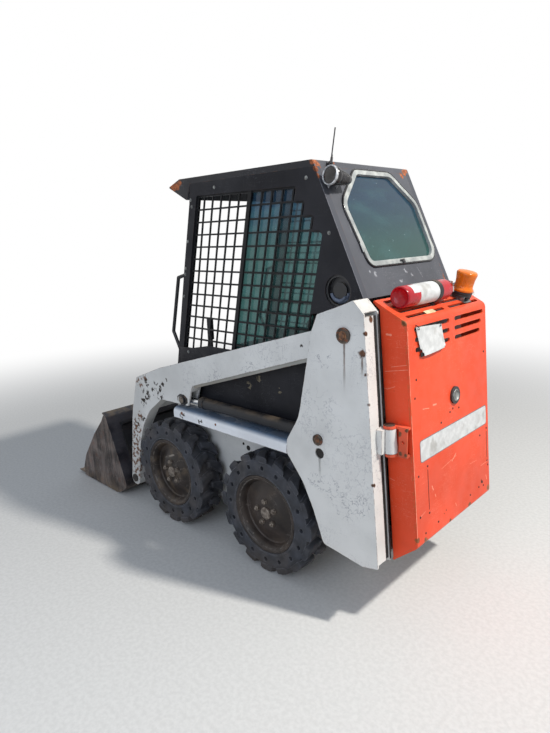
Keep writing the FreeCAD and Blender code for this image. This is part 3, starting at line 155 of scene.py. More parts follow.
class Finish:
    """One finish as nodes, laid out in the machine's own metres."""

    def __init__(self, name):
        self.material = bpy.data.materials.new(name)
        self.material.use_nodes = True
        self.tree = self.material.node_tree
        self.tree.nodes.clear()
        self.place = self.add("ShaderNodeTexCoord").outputs["Object"]
        self.x, self.y, self.z = self.add("ShaderNodeSeparateXYZ", {0: self.place}).outputs

    def add(self, kind, inputs=None, **settings):
        """A node with its settings, and its inputs joined or set."""
        node = self.tree.nodes.new(kind)
        for key, value in settings.items():
            setattr(node, key, value)
        for key, value in (inputs or {}).items():
            if isinstance(value, bpy.types.NodeSocket):
                self.tree.links.new(value, node.inputs[key])
            else:
                node.inputs[key].default_value = value
        return node

    def math(self, operation, *values, clamp=False):
        inputs = dict(enumerate(values))
        return self.add("ShaderNodeMath", inputs, operation=operation, use_clamp=clamp).outputs[0]

    def times(self, *values):
        result = values[0]
        for value in values[1:]:
            result = self.math("MULTIPLY", result, value, clamp=True)
        return result

    def most(self, *values):
        result = values[0]
        for value in values[1:]:
            result = self.math("MAXIMUM", result, value)
        return result

    def noise(self, scale, detail=3.0, stretch=None, turn=(0.0, 0.0, 0.0), rough=0.55):
        where = self.place
        if stretch:
            where = self.add("ShaderNodeMapping", {"Vector": where, "Rotation": turn, "Scale": stretch}).outputs[0]
        return self.add("ShaderNodeTexNoise", {"Vector": where, "Scale": scale, "Detail": detail,
                                               "Roughness": rough}).outputs["Fac"]

    def ramp(self, value, low, high, start=0.0, end=1.0):
        """Smooth step of a value from start at low to end at high."""
        return self.add("ShaderNodeMapRange", {"Value": value, "From Min": low, "From Max": high,
                                               "To Min": start, "To Max": end},
                        interpolation_type="SMOOTHSTEP").outputs[0]

    def mix(self, share, first, second):
        return self.add("ShaderNodeMix", {0: share, 6: first, 7: second}, data_type="RGBA").outputs[2]

    def lines(self, scale, width, stretch=None, turn=(0.0, 0.0, 0.0), detail=2.0):
        """Thin wandering lines, such as scratches, where a noise crosses its middle."""
        field = self.noise(scale, detail, stretch or (1.0, 1.0, 1.0), turn)
        away = self.math("ABSOLUTE", self.math("SUBTRACT", field, 0.5))
        return self.ramp(away, width, width * 0.3)

    def near(self, point, radius, ragged=0.6):
        """1 round a point, with a ragged edge."""
        gap = self.add("ShaderNodeVectorMath", {0: self.place, 1: point}, operation="DISTANCE").outputs["Value"]
        wander = self.math("MULTIPLY_ADD", self.noise(40.0, 4.0), radius * ragged * 2.0, -radius * ragged)
        return self.ramp(self.math("ADD", gap, wander), radius, radius * 0.55)

    def run(self, point, length, width):
        """A stain that runs down from a point and fades."""
        aside = self.add("ShaderNodeVectorMath", {0: self.place, 1: point}, operation="SUBTRACT").outputs[0]
        dx, dy, dz = self.add("ShaderNodeSeparateXYZ", {0: aside}).outputs
        off = self.math("SQRT", self.math("ADD", self.math("MULTIPLY", dx, dx), self.math("MULTIPLY", dy, dy)))
        waver = self.math("MULTIPLY_ADD", self.noise(30.0, 2.0), width, -width * 0.5)
        across = self.ramp(self.math("ADD", off, waver), width, width * 0.2)
        down = self.ramp(dz, -length, -length * 0.25)
        above = self.ramp(dz, 0.004, -0.004)
        return self.times(across, down, above)

    def stroke(self, start, end, width):
        """1 along a scratch from start to end, with a wavering edge."""
        span = end - start
        off = self.add("ShaderNodeVectorMath", {0: self.place, 1: start}, operation="SUBTRACT").outputs[0]
        along = self.add("ShaderNodeVectorMath", {0: off, 1: span / span.length_squared},
                         operation="DOT_PRODUCT").outputs["Value"]
        foot = self.add("ShaderNodeVectorMath", {0: span, "Scale": self.math("ADD", along, 0.0, clamp=True)},
                        operation="SCALE").outputs[0]
        gap = self.add("ShaderNodeVectorMath", {0: off, 1: foot}, operation="DISTANCE").outputs["Value"]
        waver = self.math("MULTIPLY_ADD", self.noise(120.0, 3.0), width * 1.6, -width * 0.8)
        return self.ramp(self.math("ADD", gap, waver), width, width * 0.4)

    def edges(self, radius):
        """1 along edges and 0 on open faces."""
        soft = self.add("ShaderNodeBevel", {"Radius": radius}, samples=4).outputs[0]
        hard = self.add("ShaderNodeNewGeometry").outputs["Normal"]
        dot = self.add("ShaderNodeVectorMath", {0: soft, 1: hard}, operation="DOT_PRODUCT").outputs["Value"]
        return self.ramp(dot, 0.995, 0.86)

    def facing_up(self):
        """1 on faces that look up: where dust settles, and where the rail's painted sky reflection goes."""
        normal = self.add("ShaderNodeNewGeometry").outputs["Normal"]
        up = self.add("ShaderNodeSeparateXYZ", {0: normal}).outputs[2]
        return self.ramp(up, 0.35, 0.95)

    def close(self, colour, roughness, height=None, bump=0.25, depth=0.002, **sockets):
        """Joins the shader and returns the material."""
        inputs = {"Base Color": colour, "Roughness": roughness}
        for key, value in sockets.items():
            inputs[key.replace("_", " ").title().replace("Ior", "IOR")] = value
        if height is not None:
            inputs["Normal"] = self.add("ShaderNodeBump", {"Height": height, "Strength": bump,
                                                           "Distance": depth}).outputs[0]
        shader = self.add("ShaderNodeBsdfPrincipled", inputs)
        self.add("ShaderNodeOutputMaterial", {"Surface": shader.outputs[0]})
        return self.material


def worn_paint(name, colour, rough=0.5, fade=0.12, scuffs=0.0, scratches=0.3, chips=0.3, edge=0.5, dust=0.3,
               dust_top=0.5, gloss=0.0, shine=0.3, scratch_colour=(0.35, 0.35, 0.36, 1.0),
               chip_colour=(0.035, 0.028, 0.024, 1.0), chip_spots=(), rusty_chips=(), rust_spots=(), rust_runs=(),
               dark_runs=(), strokes=(), scribbles=(), bare=None, rust_colour=None, second=None):
    """Sprayed paint with fading, scratches, chips, rust and dirt, each as strong as told."""
    looks = bpy.context.scene.loader_looks.colours
    rust, dirt = rust_colour or tuple(looks.rust), tuple(looks.dust)
    f = Finish(name)
    broad, fine = f.noise(3.0, 4.0), f.noise(160.0, 2.0)
    darker = tuple(c * (1.0 - fade * 2.2) for c in colour[:3]) + (1.0,)
    lighter = tuple(min(1.0, c * (1.0 + fade) + fade * 0.06) for c in colour[:3]) + (1.0,)
    shade = f.mix(f.ramp(broad, 0.3, 0.7), darker, lighter)
    shade = f.mix(f.ramp(f.noise(22.0, 4.0), 0.52, 0.75, 0.0, fade * 1.6), shade, lighter)
    # The second layer is painted light: the rail's painted sky reflection, painted shade on the cab roof's side faces
    # and the lit cab colour on the sloping rear face of the shaded sides
    if second:
        face, other = second
        shade = f.mix(face(f), shade, other)
    worn = f.times(f.ramp(f.noise(5.0, 3.0), 0.42, 0.62), scratches)
    nicks = f.most(f.lines(7.0, 0.004, (1.0, 1.0, 14.0), (0.1, 0.25, 0.0)),
                   f.lines(9.0, 0.003, (9.0, 9.0, 1.0), (0.3, -0.2, 0.1)))
    shade = f.mix(f.times(nicks, worn), shade, scratch_colour)
    if scuffs:
        where = f.ramp(f.noise(3.6, 2.0), 0.5, 0.62, 0.0, 0.55)
        for point, radius in scribbles:
            where = f.most(where, f.near(at(*point), mm(radius), 0.7))
        shade = f.mix(f.times(f.lines(26.0, 0.016, detail=5.0), where, scuffs), shade, scratch_colour)
    speck = f.noise(70.0, 3.0)
    chipped = f.times(f.ramp(speck, 0.70, 0.73), f.ramp(f.noise(6.0, 2.0), 0.50, 0.64), chips)
    for point, radius in chip_spots:
        chipped = f.most(chipped, f.times(f.near(at(*point), mm(radius), 0.9), f.ramp(f.noise(48.0, 2.0), 0.52, 0.56)))
    edge_mask = f.times(f.edges(0.004), f.ramp(f.noise(34.0, 4.0), 0.46, 0.60), edge)
    for start, end, width in strokes:
        shade = f.mix(f.times(f.stroke(start, end, mm(width)), 0.8), shade, scratch_colour)
    shade = f.mix(chipped, shade, chip_colour)
    flakes = f.ramp(f.noise(42.0, 3.0), 0.50, 0.55)
    for point, radius in rusty_chips:
        shade = f.mix(f.times(f.near(at(*point), mm(radius), 0.9), flakes), shade, rust)
    shade = f.mix(edge_mask, shade, bare or rust)
    stain = None
    for point, radius in rust_spots:
        spot = f.near(at(*point), mm(radius), 0.8)
        stain = spot if stain is None else f.most(stain, spot)
    for point, length, width in rust_runs:
        streak = f.run(at(*point), mm(length), mm(width))
        stain = streak if stain is None else f.most(stain, f.times(streak, 0.8))
    if stain is not None:
        mottled = f.mix(f.ramp(f.noise(90.0, 3.0), 0.35, 0.65), rust, tuple(c * 0.35 for c in rust[:3]) + (1.0,))
        shade = f.mix(stain, shade, mottled)
    for point, length, width in dark_runs:
        shade = f.mix(f.times(f.run(at(*point), mm(length), mm(width)), 0.55), shade, (0.11, 0.11, 0.10, 1.0))
    low = f.ramp(f.math("MULTIPLY_ADD", f.noise(9.0, 4.0), 0.35, f.z), dust_top, dust_top - 0.42)
    settled = f.times(f.facing_up(), f.ramp(f.noise(11.0, 4.0), 0.36, 0.66))
    dirty = f.times(f.most(low, settled), dust)
    shade = f.mix(dirty, shade, dirt)
    roughness = f.math("ADD", f.ramp(f.noise(14.0, 3.0), 0.3, 0.7, rough - 0.07, rough + 0.10),
                       f.math("MULTIPLY", f.most(dirty, chipped, edge_mask), 0.3), clamp=True)
    height = f.math("ADD", f.math("MULTIPLY", fine, 0.10),
                    f.math("SUBTRACT", f.math("MULTIPLY", f.noise(4.5, 1.0), 1.6),
                           f.math("MULTIPLY", f.most(chipped, edge_mask), 0.35)))
    return f.close(shade, roughness, height, 0.22, 0.0016, specular_ior_level=shine, coat_weight=gloss,
                   coat_roughness=0.08)


# Marks where the shaded cab sides take the lit cab colour, as painted light
def on_the_slope(f):
    """1 on the cab's sloping rear face and 0 behind it."""
    rise = f.add("ShaderNodeVectorMath", {0: f.place, 1: on_slope(0.0, 0.0, 0.0)}, operation="SUBTRACT").outputs[0]
    out = f.add("ShaderNodeVectorMath", {0: rise, 1: SLOPE_OUT}, operation="DOT_PRODUCT").outputs["Value"]
    return f.ramp(out, -0.0030, -0.0012)


# Marks the cab roof's faces that take painted shade
def facing_aside(f):
    """1 on faces that look left or right."""
    normal = f.add("ShaderNodeNewGeometry").outputs["Normal"]
    aside = f.math("ABSOLUTE", f.add("ShaderNodeSeparateXYZ", {0: normal}).outputs[1])
    return f.ramp(aside, 0.6, 0.85)


def chalky_white():
    return worn_paint(
        "chalky_white", tuple(bpy.context.scene.loader_looks.colours.white), rough=0.48, fade=0.07, scuffs=0.75,
        scratches=0.5, chips=0.4, edge=0.9, dust=0.30, dust_top=0.55, scratch_colour=srgb(136, 136, 144),
        scribbles=[((-330, 441, 560), 60), ((-430, 441, 540), 70), ((-540, 441, 520), 70), ((-480, 441, 460), 50),
                   ((300, 428, 880), 90), ((60, 428, 960), 80), ((-380, 441, 1080), 50)],
        rust_colour=srgb(104, 70, 50),
        chip_spots=[((784, 428, 755), 50), ((820, 428, 735), 34), ((766, 428, 712), 28), ((890, 428, 775), 36),
                    ((904, 428, 705), 42), ((935, 428, 660), 36), ((957, 428, 560), 30), ((1030, 428, 500), 40),
                    ((735, 428, 790), 18), ((640, 428, 900), 14), ((700, 428, 820), 14), ((-252, 428, 1110), 12)],
        rusty_chips=[((1035, 428, 480), 60), ((1052, 428, 430), 56), ((1064, 428, 370), 60), ((1070, 428, 310), 60),
                     ((1082, 428, 240), 60), ((1090, 428, 180), 56), ((1000, 428, 560), 36), ((960, 428, 770), 44),
                     ((900, 428, 820), 36)],
        rust_spots=[((-472, 441, 1175), 30), ((-552, 441, 1117), 20), ((-556, 400, 1236), 16), ((-342, 441, 744), 15),
                    ((-560, 436, 1190), 12), ((-566, 436, 1040), 10), ((-577, 436, 930), 9), ((-600, 436, 620), 10)],
        rust_runs=[((-472, 441, 1168), 230, 7), ((-552, 441, 1108), 90, 6)],
        dark_runs=[((-346, 441, 672), 110, 8)])


def glossy_rail():
    return worn_paint(
        "glossy_rail", tuple(bpy.context.scene.loader_looks.colours.rail), rough=0.24, fade=0.05, scratches=0.25,
        # Painted sky reflection: faces that look up turn blue-grey
        second=(Finish.facing_up, srgb(112, 132, 156)),
        chips=0.25, edge=0.8, dust=0.22, dust_top=0.3, gloss=0.5, scratch_colour=srgb(120, 120, 126),
        chip_spots=[((560, 441, 660), 26), ((420, 441, 655), 20)],
        rust_spots=[((565, 441, 668), 12), ((300, 441, 664), 7)])


def charcoal_shell():
    return worn_paint(
        "charcoal_shell", tuple(bpy.context.scene.loader_looks.colours.charcoal), rough=0.46, fade=0.10, scratches=0.5,
        chips=0.22, edge=0.45, dust=0.20, dust_top=0.2, scratch_colour=srgb(150, 152, 156),
        chip_colour=srgb(146, 148, 154), bare=srgb(120, 84, 60), rust_colour=srgb(178, 98, 52),
        # Painted shade: faces that look left or right take the darker side colour
        second=(facing_aside, tuple(bpy.context.scene.loader_looks.colours.side_shade)),
        chip_spots=[((-450, 208, 1381), 13), ((-446, 239, 1391), 8), ((-452, -8, 1378), 12), ((-444, 15, 1396), 7),
                    ((-466, -51, 1348), 19), ((-467, 48, 1345), 13), ((-456, -25, 1369), 9), ((-463, -123, 1353), 12),
                    ((-453, -225, 1376), 7), ((-300, 320, 1700), 10)],
        rust_spots=[((630, 338, 1795), 34), ((600, 341, 1788), 22), ((575, 341, 1800), 16), ((-256, 332, 1808), 22), ((-262, 322, 1796), 20), ((-272, 336, 1772), 17), ((-284, 339, 1746), 11),
                    ((-256, 213, 1807), 9), ((-256, -318, 1808), 22), ((-262, -300, 1796), 20), ((-268, -272, 1783), 16),
                    ((-449, -322, 1384), 18), ((-462, -330, 1358), 22), ((-476, -318, 1326), 24), ((-484, -330, 1306), 16)],
        strokes=[(on_slope(339, 60, 0), on_slope(339.5, 128, 0), 3.0), (on_slope(339, 150, 0), on_slope(339.5, 300, 0), 3.6),
                 (on_slope(339, 310, 0), on_slope(339.5, 560, 0), 3.0), (on_slope(255, 240, 0), on_slope(262, 300, 0), 1.2),
                 (on_slope(-110, 470, 0), on_slope(-128, 520, 0), 1.0)])


def sooty_shell():
    return worn_paint(
        # Painted light: the base is the darker side colour that stands for shade, and the sloping rear face takes the
        # lit cab colour
        "sooty_shell", tuple(bpy.context.scene.loader_looks.colours.side_shade), rough=0.5, fade=0.12, scratches=0.25,
        chips=0.16, edge=0.3, dust=0.12, dust_top=0.2, shine=0.16, scratch_colour=srgb(126, 126, 132),
        chip_colour=srgb(112, 104, 88), bare=srgb(96, 68, 50), rust_colour=srgb(150, 84, 50),
        second=(on_the_slope, tuple(bpy.context.scene.loader_looks.colours.charcoal)),
        chip_spots=[((80, 341, 900), 24), ((160, 341, 860), 20), ((-40, 341, 870), 16)],
        rust_spots=[((-262, 341, 1800), 20), ((-272, 341, 1782), 18), ((-284, 341, 1756), 14)],
        strokes=[(on_slope(340.5, 100, 0), on_slope(340.5, 560, 0), 1.6)])


def faded_orange():
    return worn_paint(
        "faded_orange", tuple(bpy.context.scene.loader_looks.colours.orange), rough=0.42, fade=0.07, scratches=0.55,
        chips=0.3, edge=0.9, dust=0.12, dust_top=0.40, gloss=0.05, shine=0.25, scratch_colour=srgb(240, 158, 132),
        chip_colour=srgb(60, 30, 24), bare=srgb(160, 104, 58), rust_colour=srgb(150, 92, 50),
        chip_spots=[((-690, 240, 640), 16), ((-715, 100, 420), 16), ((-716, -250, 420), 22), ((-700, -130, 560), 12)],
        rust_spots=[((-650, 330, 1222), 16), ((-726, 318, 385), 14), ((-728, 260, 362), 16), ((-728, 60, 360), 12),
                    ((-728, -120, 360), 14), ((-727, -310, 372), 18)],
        strokes=[(on_rear(116, 607), on_rear(-11, 623), 1.3), (on_rear(27, 611), on_rear(-8, 633), 3.2),
                 (on_rear(163, 882), on_rear(139, 880), 4.0), (on_rear(241, 885), on_rear(196, 878), 2.2),
                 (on_rear(-131, 546), on_rear(-197, 541), 1.2), (on_rear(-238, 502), on_rear(-318, 501), 1.5),
                 (on_rear(-291, 440), on_rear(-297, 418), 3.5), (on_rear(198, 563), on_rear(190, 545), 3.5),
                 (on_rear(177, 522), on_rear(172, 510), 3.0), (on_rear(9, 420), on_rear(2, 405), 2.5),
                 (on_rear(299, 472), on_rear(257, 480), 1.6), (on_rear(324, 1190), on_rear(324, 930), 1.6),
                 (on_rear(324, 880), on_rear(323, 380), 2.2),
                 (at(-573, 325, 1032), at(-669, 325, 1051), 1.3), (at(-601, 325, 1053), at(-665, 325, 1068), 1.2),
                 (at(-579, 325, 1173), at(-597, 325, 1172), 5.0), (at(-559, 325, 968), at(-586, 325, 966), 1.4),
                 (at(-586, 325, 966), at(-617, 325, 980), 1.4), (at(-600, 325, 610), at(-622, 325, 606), 1.4)])


def rusty_orange():
    return worn_paint(
        "rusty_orange", tuple(bpy.context.scene.loader_looks.colours.orange), rough=0.62, fade=0.2, scratches=0.5,
        chips=0.5, edge=1.0, dust=0.25, dust_top=1.3, chip_colour=srgb(84, 48, 30), bare=srgb(128, 92, 62),
        rust_spots=[((-654, 352, 812), 13), ((-686, 350, 830), 9), ((-660, 352, 736), 12), ((-684, 352, 734), 8)])


def dirty_black():
    return worn_paint(
        "dirty_black", srgb(30, 31, 35), rough=0.42, fade=0.15, scratches=0.4, chips=0.3, edge=0.5, dust=0.42,
        dust_top=0.5, scratch_colour=srgb(96, 98, 102), chip_colour=srgb(80, 60, 46), bare=srgb(110, 92, 78))


def mesh_black():
    return worn_paint(
        "mesh_black", srgb(15, 16, 20), rough=0.5, fade=0.15, scratches=0.2, chips=0.3, edge=0.2, dust=0.15,
        dust_top=0.2, shine=0.2, chip_colour=srgb(92, 66, 48), bare=srgb(88, 80, 74))


def oily_steel():
    f = Finish("oily_steel")
    blotch = f.ramp(f.noise(26.0, 5.0), 0.35, 0.68)
    shade = f.mix(blotch, srgb(58, 52, 48), srgb(104, 94, 84))
    shade = f.mix(f.times(f.ramp(f.noise(55.0, 4.0), 0.52, 0.66), 0.7), shade, tuple(bpy.context.scene.loader_looks.colours.rust))
    shade = f.mix(f.times(f.edges(0.002), 0.6), shade, srgb(160, 156, 150))
    return f.close(shade, f.ramp(blotch, 0.0, 1.0, 0.36, 0.6), f.noise(120.0, 4.0), 0.3, 0.001, metallic=0.7)


def polished_rod():
    f = Finish("polished_rod")
    film = f.ramp(f.noise(18.0, 3.0, (1.0, 6.0, 6.0)), 0.42, 0.72)
    shade = f.mix(f.times(film, 0.35), srgb(206, 208, 212), srgb(120, 112, 102))
    return f.close(shade, f.ramp(film, 0.0, 1.0, 0.10, 0.34), f.noise(300.0, 1.0), 0.04, 0.0005, metallic=1.0)


def worn_nut():
    f = Finish("worn_nut")
    tone = f.ramp(f.noise(70.0, 4.0), 0.34, 0.66)
    shade = f.mix(tone, srgb(84, 74, 66), srgb(138, 128, 118))
    return f.close(shade, f.ramp(tone, 0.0, 1.0, 0.4, 0.6), f.noise(200.0, 3.0), 0.3, 0.0008, metallic=0.3)


def dull_zinc():
    f = Finish("dull_zinc")
    tone = f.ramp(f.noise(60.0, 4.0), 0.34, 0.68)
    shade = f.mix(tone, srgb(92, 94, 94), srgb(150, 152, 150))
    shade = f.mix(f.times(f.ramp(f.noise(90.0, 3.0), 0.58, 0.7), 0.5), shade, srgb(86, 64, 48))
    return f.close(shade, f.ramp(tone, 0.0, 1.0, 0.3, 0.5), f.noise(180.0, 2.0), 0.2, 0.0006, metallic=0.55)


def scraped_steel():
    looks = bpy.context.scene.loader_looks.colours
    f = Finish("scraped_steel")
    broad = f.ramp(f.noise(7.0, 5.0), 0.32, 0.66)
    shade = f.mix(broad, srgb(82, 74, 70), srgb(124, 112, 106))
    shade = f.mix(f.times(f.ramp(f.noise(24.0, 5.0), 0.5, 0.68), 0.3), shade, tuple(looks.rust))
    upright = f.ramp(f.noise(5.0, 4.0, (6.0, 1.0, 0.7), (0.0, 0.18, 0.0)), 0.40, 0.60)
    shade = f.mix(f.times(upright, 0.55), shade, srgb(40, 38, 40))
    swept = f.lines(10.0, 0.03, (10.0, 1.0, 1.0), (0.0, 0.18, 0.0), 3.0)
    shade = f.mix(f.times(swept, 0.40), shade, srgb(150, 138, 132))
    # Back-facing faces above the floor turn dark blue-grey: the back plate's dark paint together with painted shade
    normal = f.add("ShaderNodeSeparateXYZ", {0: f.add("ShaderNodeNewGeometry").outputs["Normal"]}).outputs
    behind = f.times(f.ramp(normal[0], 0.05, -0.30), f.ramp(f.z, 0.05, 0.14))
    shade = f.mix(f.times(behind, 0.9), shade, srgb(34, 36, 46))
    bright = f.times(f.edges(0.006), f.ramp(f.noise(22.0, 3.0), 0.38, 0.58))
    shade = f.mix(f.times(bright, 0.6), shade, srgb(160, 154, 148))
    dirt = f.times(f.most(f.ramp(f.z, 0.12, 0.0), f.facing_up()), f.ramp(f.noise(12.0, 5.0), 0.4, 0.62), 0.6)
    shade = f.mix(dirt, shade, tuple(looks.dust))
    metal = f.ramp(f.most(dirt, broad), 0.0, 1.0, 0.75, 0.1)
    height = f.math("ADD", f.noise(60.0, 5.0), f.math("MULTIPLY", swept, -0.3))
    return f.close(shade, f.ramp(broad, 0.0, 1.0, 0.42, 0.68), height, 0.4, 0.0016, metallic=metal)


def grey_seal():
    f = Finish("grey_seal")
    tone = f.ramp(f.noise(20.0, 3.0), 0.3, 0.7)
    shade = f.mix(tone, srgb(134, 138, 138), srgb(178, 181, 178))
    shade = f.mix(f.times(f.ramp(f.noise(70.0, 3.0), 0.6, 0.72), 0.6), shade, srgb(84, 84, 84))
    return f.close(shade, f.ramp(tone, 0.0, 1.0, 0.5, 0.64), f.noise(240.0, 2.0), 0.2, 0.0006)


def tint_and_sky_pane():
    f = Finish("tint_and_sky_pane")
    spots = f.times(f.ramp(f.noise(110.0, 3.0), 0.70, 0.76), f.ramp(f.noise(8.0, 2.0), 0.42, 0.6))
    smear = f.ramp(f.noise(6.0, 4.0, (1.0, 1.0, 3.0)), 0.45, 0.75)
    # Blue-teal colour: the glass's own tint together with a painted sky reflection, bluer towards the top
    tint_and_sky = f.mix(f.ramp(f.z, 1.44, 1.70), srgb(74, 116, 112), srgb(60, 92, 118))
    tint_and_sky = f.mix(f.times(smear, 0.35), tint_and_sky, srgb(96, 148, 150))
    tint_and_sky = f.mix(spots, tint_and_sky, srgb(206, 214, 216))
    rough = f.math("MULTIPLY_ADD", spots, 0.5, f.ramp(smear, 0.0, 1.0, 0.01, 0.07), clamp=True)
    return f.close(tint_and_sky, rough, transmission_weight=f.ramp(spots, 0.0, 1.0, 0.66, 0.3), ior=1.45,
                   specular_ior_level=0.15)


def moulded_plastic():
    f = Finish("moulded_plastic")
    tone = f.ramp(f.noise(24.0, 4.0), 0.35, 0.68)
    shade = f.mix(tone, srgb(20, 20, 23), srgb(36, 36, 39))
    shade = f.mix(f.times(f.facing_up(), f.ramp(f.noise(30.0, 3.0), 0.4, 0.6), 0.3), shade,
                  tuple(bpy.context.scene.loader_looks.colours.dust))
    # Pale edges: painted highlight along edges and ribs
    shade = f.mix(f.times(f.edges(0.002), f.ramp(f.noise(60.0, 3.0), 0.4, 0.6), 0.7), shade, srgb(120, 122, 124))
    grain = f.add("ShaderNodeTexVoronoi", {"Vector": f.place, "Scale": 900.0}).outputs["Distance"]
    return f.close(shade, f.ramp(tone, 0.0, 1.0, 0.38, 0.56), grain, 0.12, 0.0004)


def creased_vinyl():
    f = Finish("creased_vinyl")
    crease = f.add("ShaderNodeTexVoronoi", {"Vector": f.place, "Scale": 420.0}, feature="DISTANCE_TO_EDGE").outputs[0]
    tone = f.ramp(f.noise(9.0, 4.0), 0.35, 0.7)
    shade = f.mix(tone, srgb(26, 26, 28), srgb(48, 48, 50))
    shade = f.mix(f.times(f.ramp(f.noise(30.0, 4.0), 0.52, 0.7), 0.35), shade,
                  tuple(bpy.context.scene.loader_looks.colours.dust))
    return f.close(shade, f.ramp(tone, 0.0, 1.0, 0.36, 0.55), f.ramp(crease, 0.0, 0.12), 0.35, 0.0006)


def bottle_red():
    f = Finish("bottle_red")
    tone = f.ramp(f.noise(12.0, 4.0), 0.35, 0.7)
    colour = tuple(bpy.context.scene.loader_looks.colours.red)
    shade = f.mix(tone, tuple(c * 0.72 for c in colour[:3]) + (1.0,), colour)
    nick = f.times(f.lines(14.0, 0.004, (1.0, 5.0, 1.0)), f.ramp(f.noise(7.0, 2.0), 0.5, 0.6), 0.6)
    shade = f.mix(nick, shade, srgb(226, 190, 184))
    return f.close(shade, f.ramp(tone, 0.0, 1.0, 0.22, 0.34), f.noise(200.0, 1.0), 0.04, 0.0005,
                   specular_ior_level=0.3, coat_weight=0.1, coat_roughness=0.06)


def blank_label():
    f = Finish("blank_label")
    tone = f.ramp(f.noise(40.0, 4.0), 0.35, 0.7)
    shade = f.mix(tone, srgb(192, 193, 193), srgb(212, 213, 213))
    grime = f.times(f.ramp(f.noise(16.0, 5.0), 0.52, 0.72), 0.45)
    shade = f.mix(grime, shade, srgb(128, 122, 112))
    return f.close(shade, f.ramp(tone, 0.0, 1.0, 0.34, 0.5), f.noise(90.0, 2.0), 0.12, 0.0006)


def pale_bezel():
    f = Finish("pale_bezel")
    tone = f.ramp(f.noise(70.0, 4.0), 0.35, 0.68)
    shade = f.mix(tone, srgb(150, 152, 156), srgb(214, 216, 218))
    return f.close(shade, f.ramp(tone, 0.0, 1.0, 0.25, 0.45), f.noise(160.0, 3.0), 0.3, 0.0008, metallic=0.35)


def blue_hose():
    f = Finish("blue_hose")
    tone = f.ramp(f.noise(40.0, 4.0), 0.35, 0.68)
    shade = f.mix(tone, srgb(52, 60, 78), srgb(96, 106, 124))
    return f.close(shade, f.ramp(tone, 0.0, 1.0, 0.4, 0.6), f.noise(160.0, 3.0), 0.2, 0.0006)


# Lip under the arms: worn grey paint, darker than the arms' white
def weathered_lip():
    return worn_paint("weathered_lip", srgb(150, 149, 143), rough=0.55, fade=0.1, scratches=0.4, chips=0.5, edge=0.8,
                      dust=0.5, dust_top=1.2)


def rusty_steel():
    f = Finish("rusty_steel")
    tone = f.ramp(f.noise(60.0, 5.0), 0.34, 0.66)
    shade = f.mix(tone, srgb(70, 48, 36), srgb(138, 96, 66))
    return f.close(shade, f.ramp(tone, 0.0, 1.0, 0.5, 0.75), f.noise(180.0, 4.0), 0.4, 0.001, metallic=0.2)


def cream_tape():
    f = Finish("cream_tape")
    tone = f.ramp(f.noise(40.0, 4.0), 0.35, 0.7)
    return f.close(f.mix(tone, srgb(196, 178, 140), srgb(222, 206, 172)), f.ramp(tone, 0.0, 1.0, 0.45, 0.6),
                   f.noise(120.0, 2.0), 0.15, 0.0004)


def grey_line():
    f = Finish("grey_line")
    tone = f.ramp(f.noise(60.0, 3.0), 0.35, 0.7)
    return f.close(f.mix(tone, srgb(96, 98, 102), srgb(126, 128, 132)), f.ramp(tone, 0.0, 1.0, 0.45, 0.6),
                   f.noise(200.0, 1.0), 0.1, 0.0003)


def ribbed_amber():
    f = Finish("ribbed_amber")
    colour = tuple(bpy.context.scene.loader_looks.colours.amber)
    tone = f.ramp(f.noise(18.0, 4.0), 0.35, 0.7)
    shade = f.mix(tone, tuple(c * 0.75 for c in colour[:3]) + (1.0,), colour)
    dusty = f.times(f.most(f.facing_up(), f.ramp(f.noise(30.0, 3.0), 0.58, 0.7)), 0.22)
    shade = f.mix(dusty, shade, srgb(200, 140, 90))
    return f.close(shade, f.ramp(dusty, 0.0, 0.3, 0.14, 0.45), f.noise(120.0, 2.0), 0.06, 0.0006,
                   transmission_weight=0.12, ior=1.49, coat_weight=0.1, specular_ior_level=0.3)


def lamp_glass():
    f = Finish("lamp_glass")
    tone = f.ramp(f.noise(50.0, 3.0), 0.35, 0.7)
    shade = f.mix(tone, srgb(70, 66, 64), srgb(110, 104, 100))
    return f.close(shade, f.ramp(tone, 0.0, 1.0, 0.06, 0.2), f.noise(160.0, 1.0), 0.1, 0.0006,
                   transmission_weight=0.8, ior=1.5, specular_ior_level=0.25)


def smoked_bowl():
    f = Finish("smoked_bowl")
    tone = f.ramp(f.noise(40.0, 4.0), 0.35, 0.7)
    return f.close(f.mix(tone, srgb(30, 26, 25), srgb(74, 66, 62)), f.ramp(tone, 0.0, 1.0, 0.2, 0.4),
                   f.noise(160.0, 2.0), 0.1, 0.0005, metallic=0.4)


def black_rubber():
    f = Finish("black_rubber")
    tone = f.ramp(f.noise(24.0, 4.0), 0.35, 0.68)
    shade = f.mix(tone, srgb(16, 15, 17), srgb(32, 30, 32))
    # Pale edges: painted highlight along edges and ribs
    shade = f.mix(f.times(f.edges(0.003), 0.5), shade, srgb(120, 120, 122))
    return f.close(shade, f.ramp(tone, 0.0, 1.0, 0.2, 0.34), f.noise(160.0, 2.0), 0.1, 0.0004)


# Near-black: the colour of small dark parts, and of the painted shade in slits, holes and inside the uprights
def dark_gap():
    f = Finish("dark_gap")
    tone = f.ramp(f.noise(50.0, 3.0), 0.35, 0.7)
    return f.close(f.mix(tone, srgb(14, 13, 13), srgb(30, 27, 25)), f.ramp(tone, 0.0, 1.0, 0.7, 0.9),
                   f.noise(120.0, 3.0), 0.3, 0.0006)


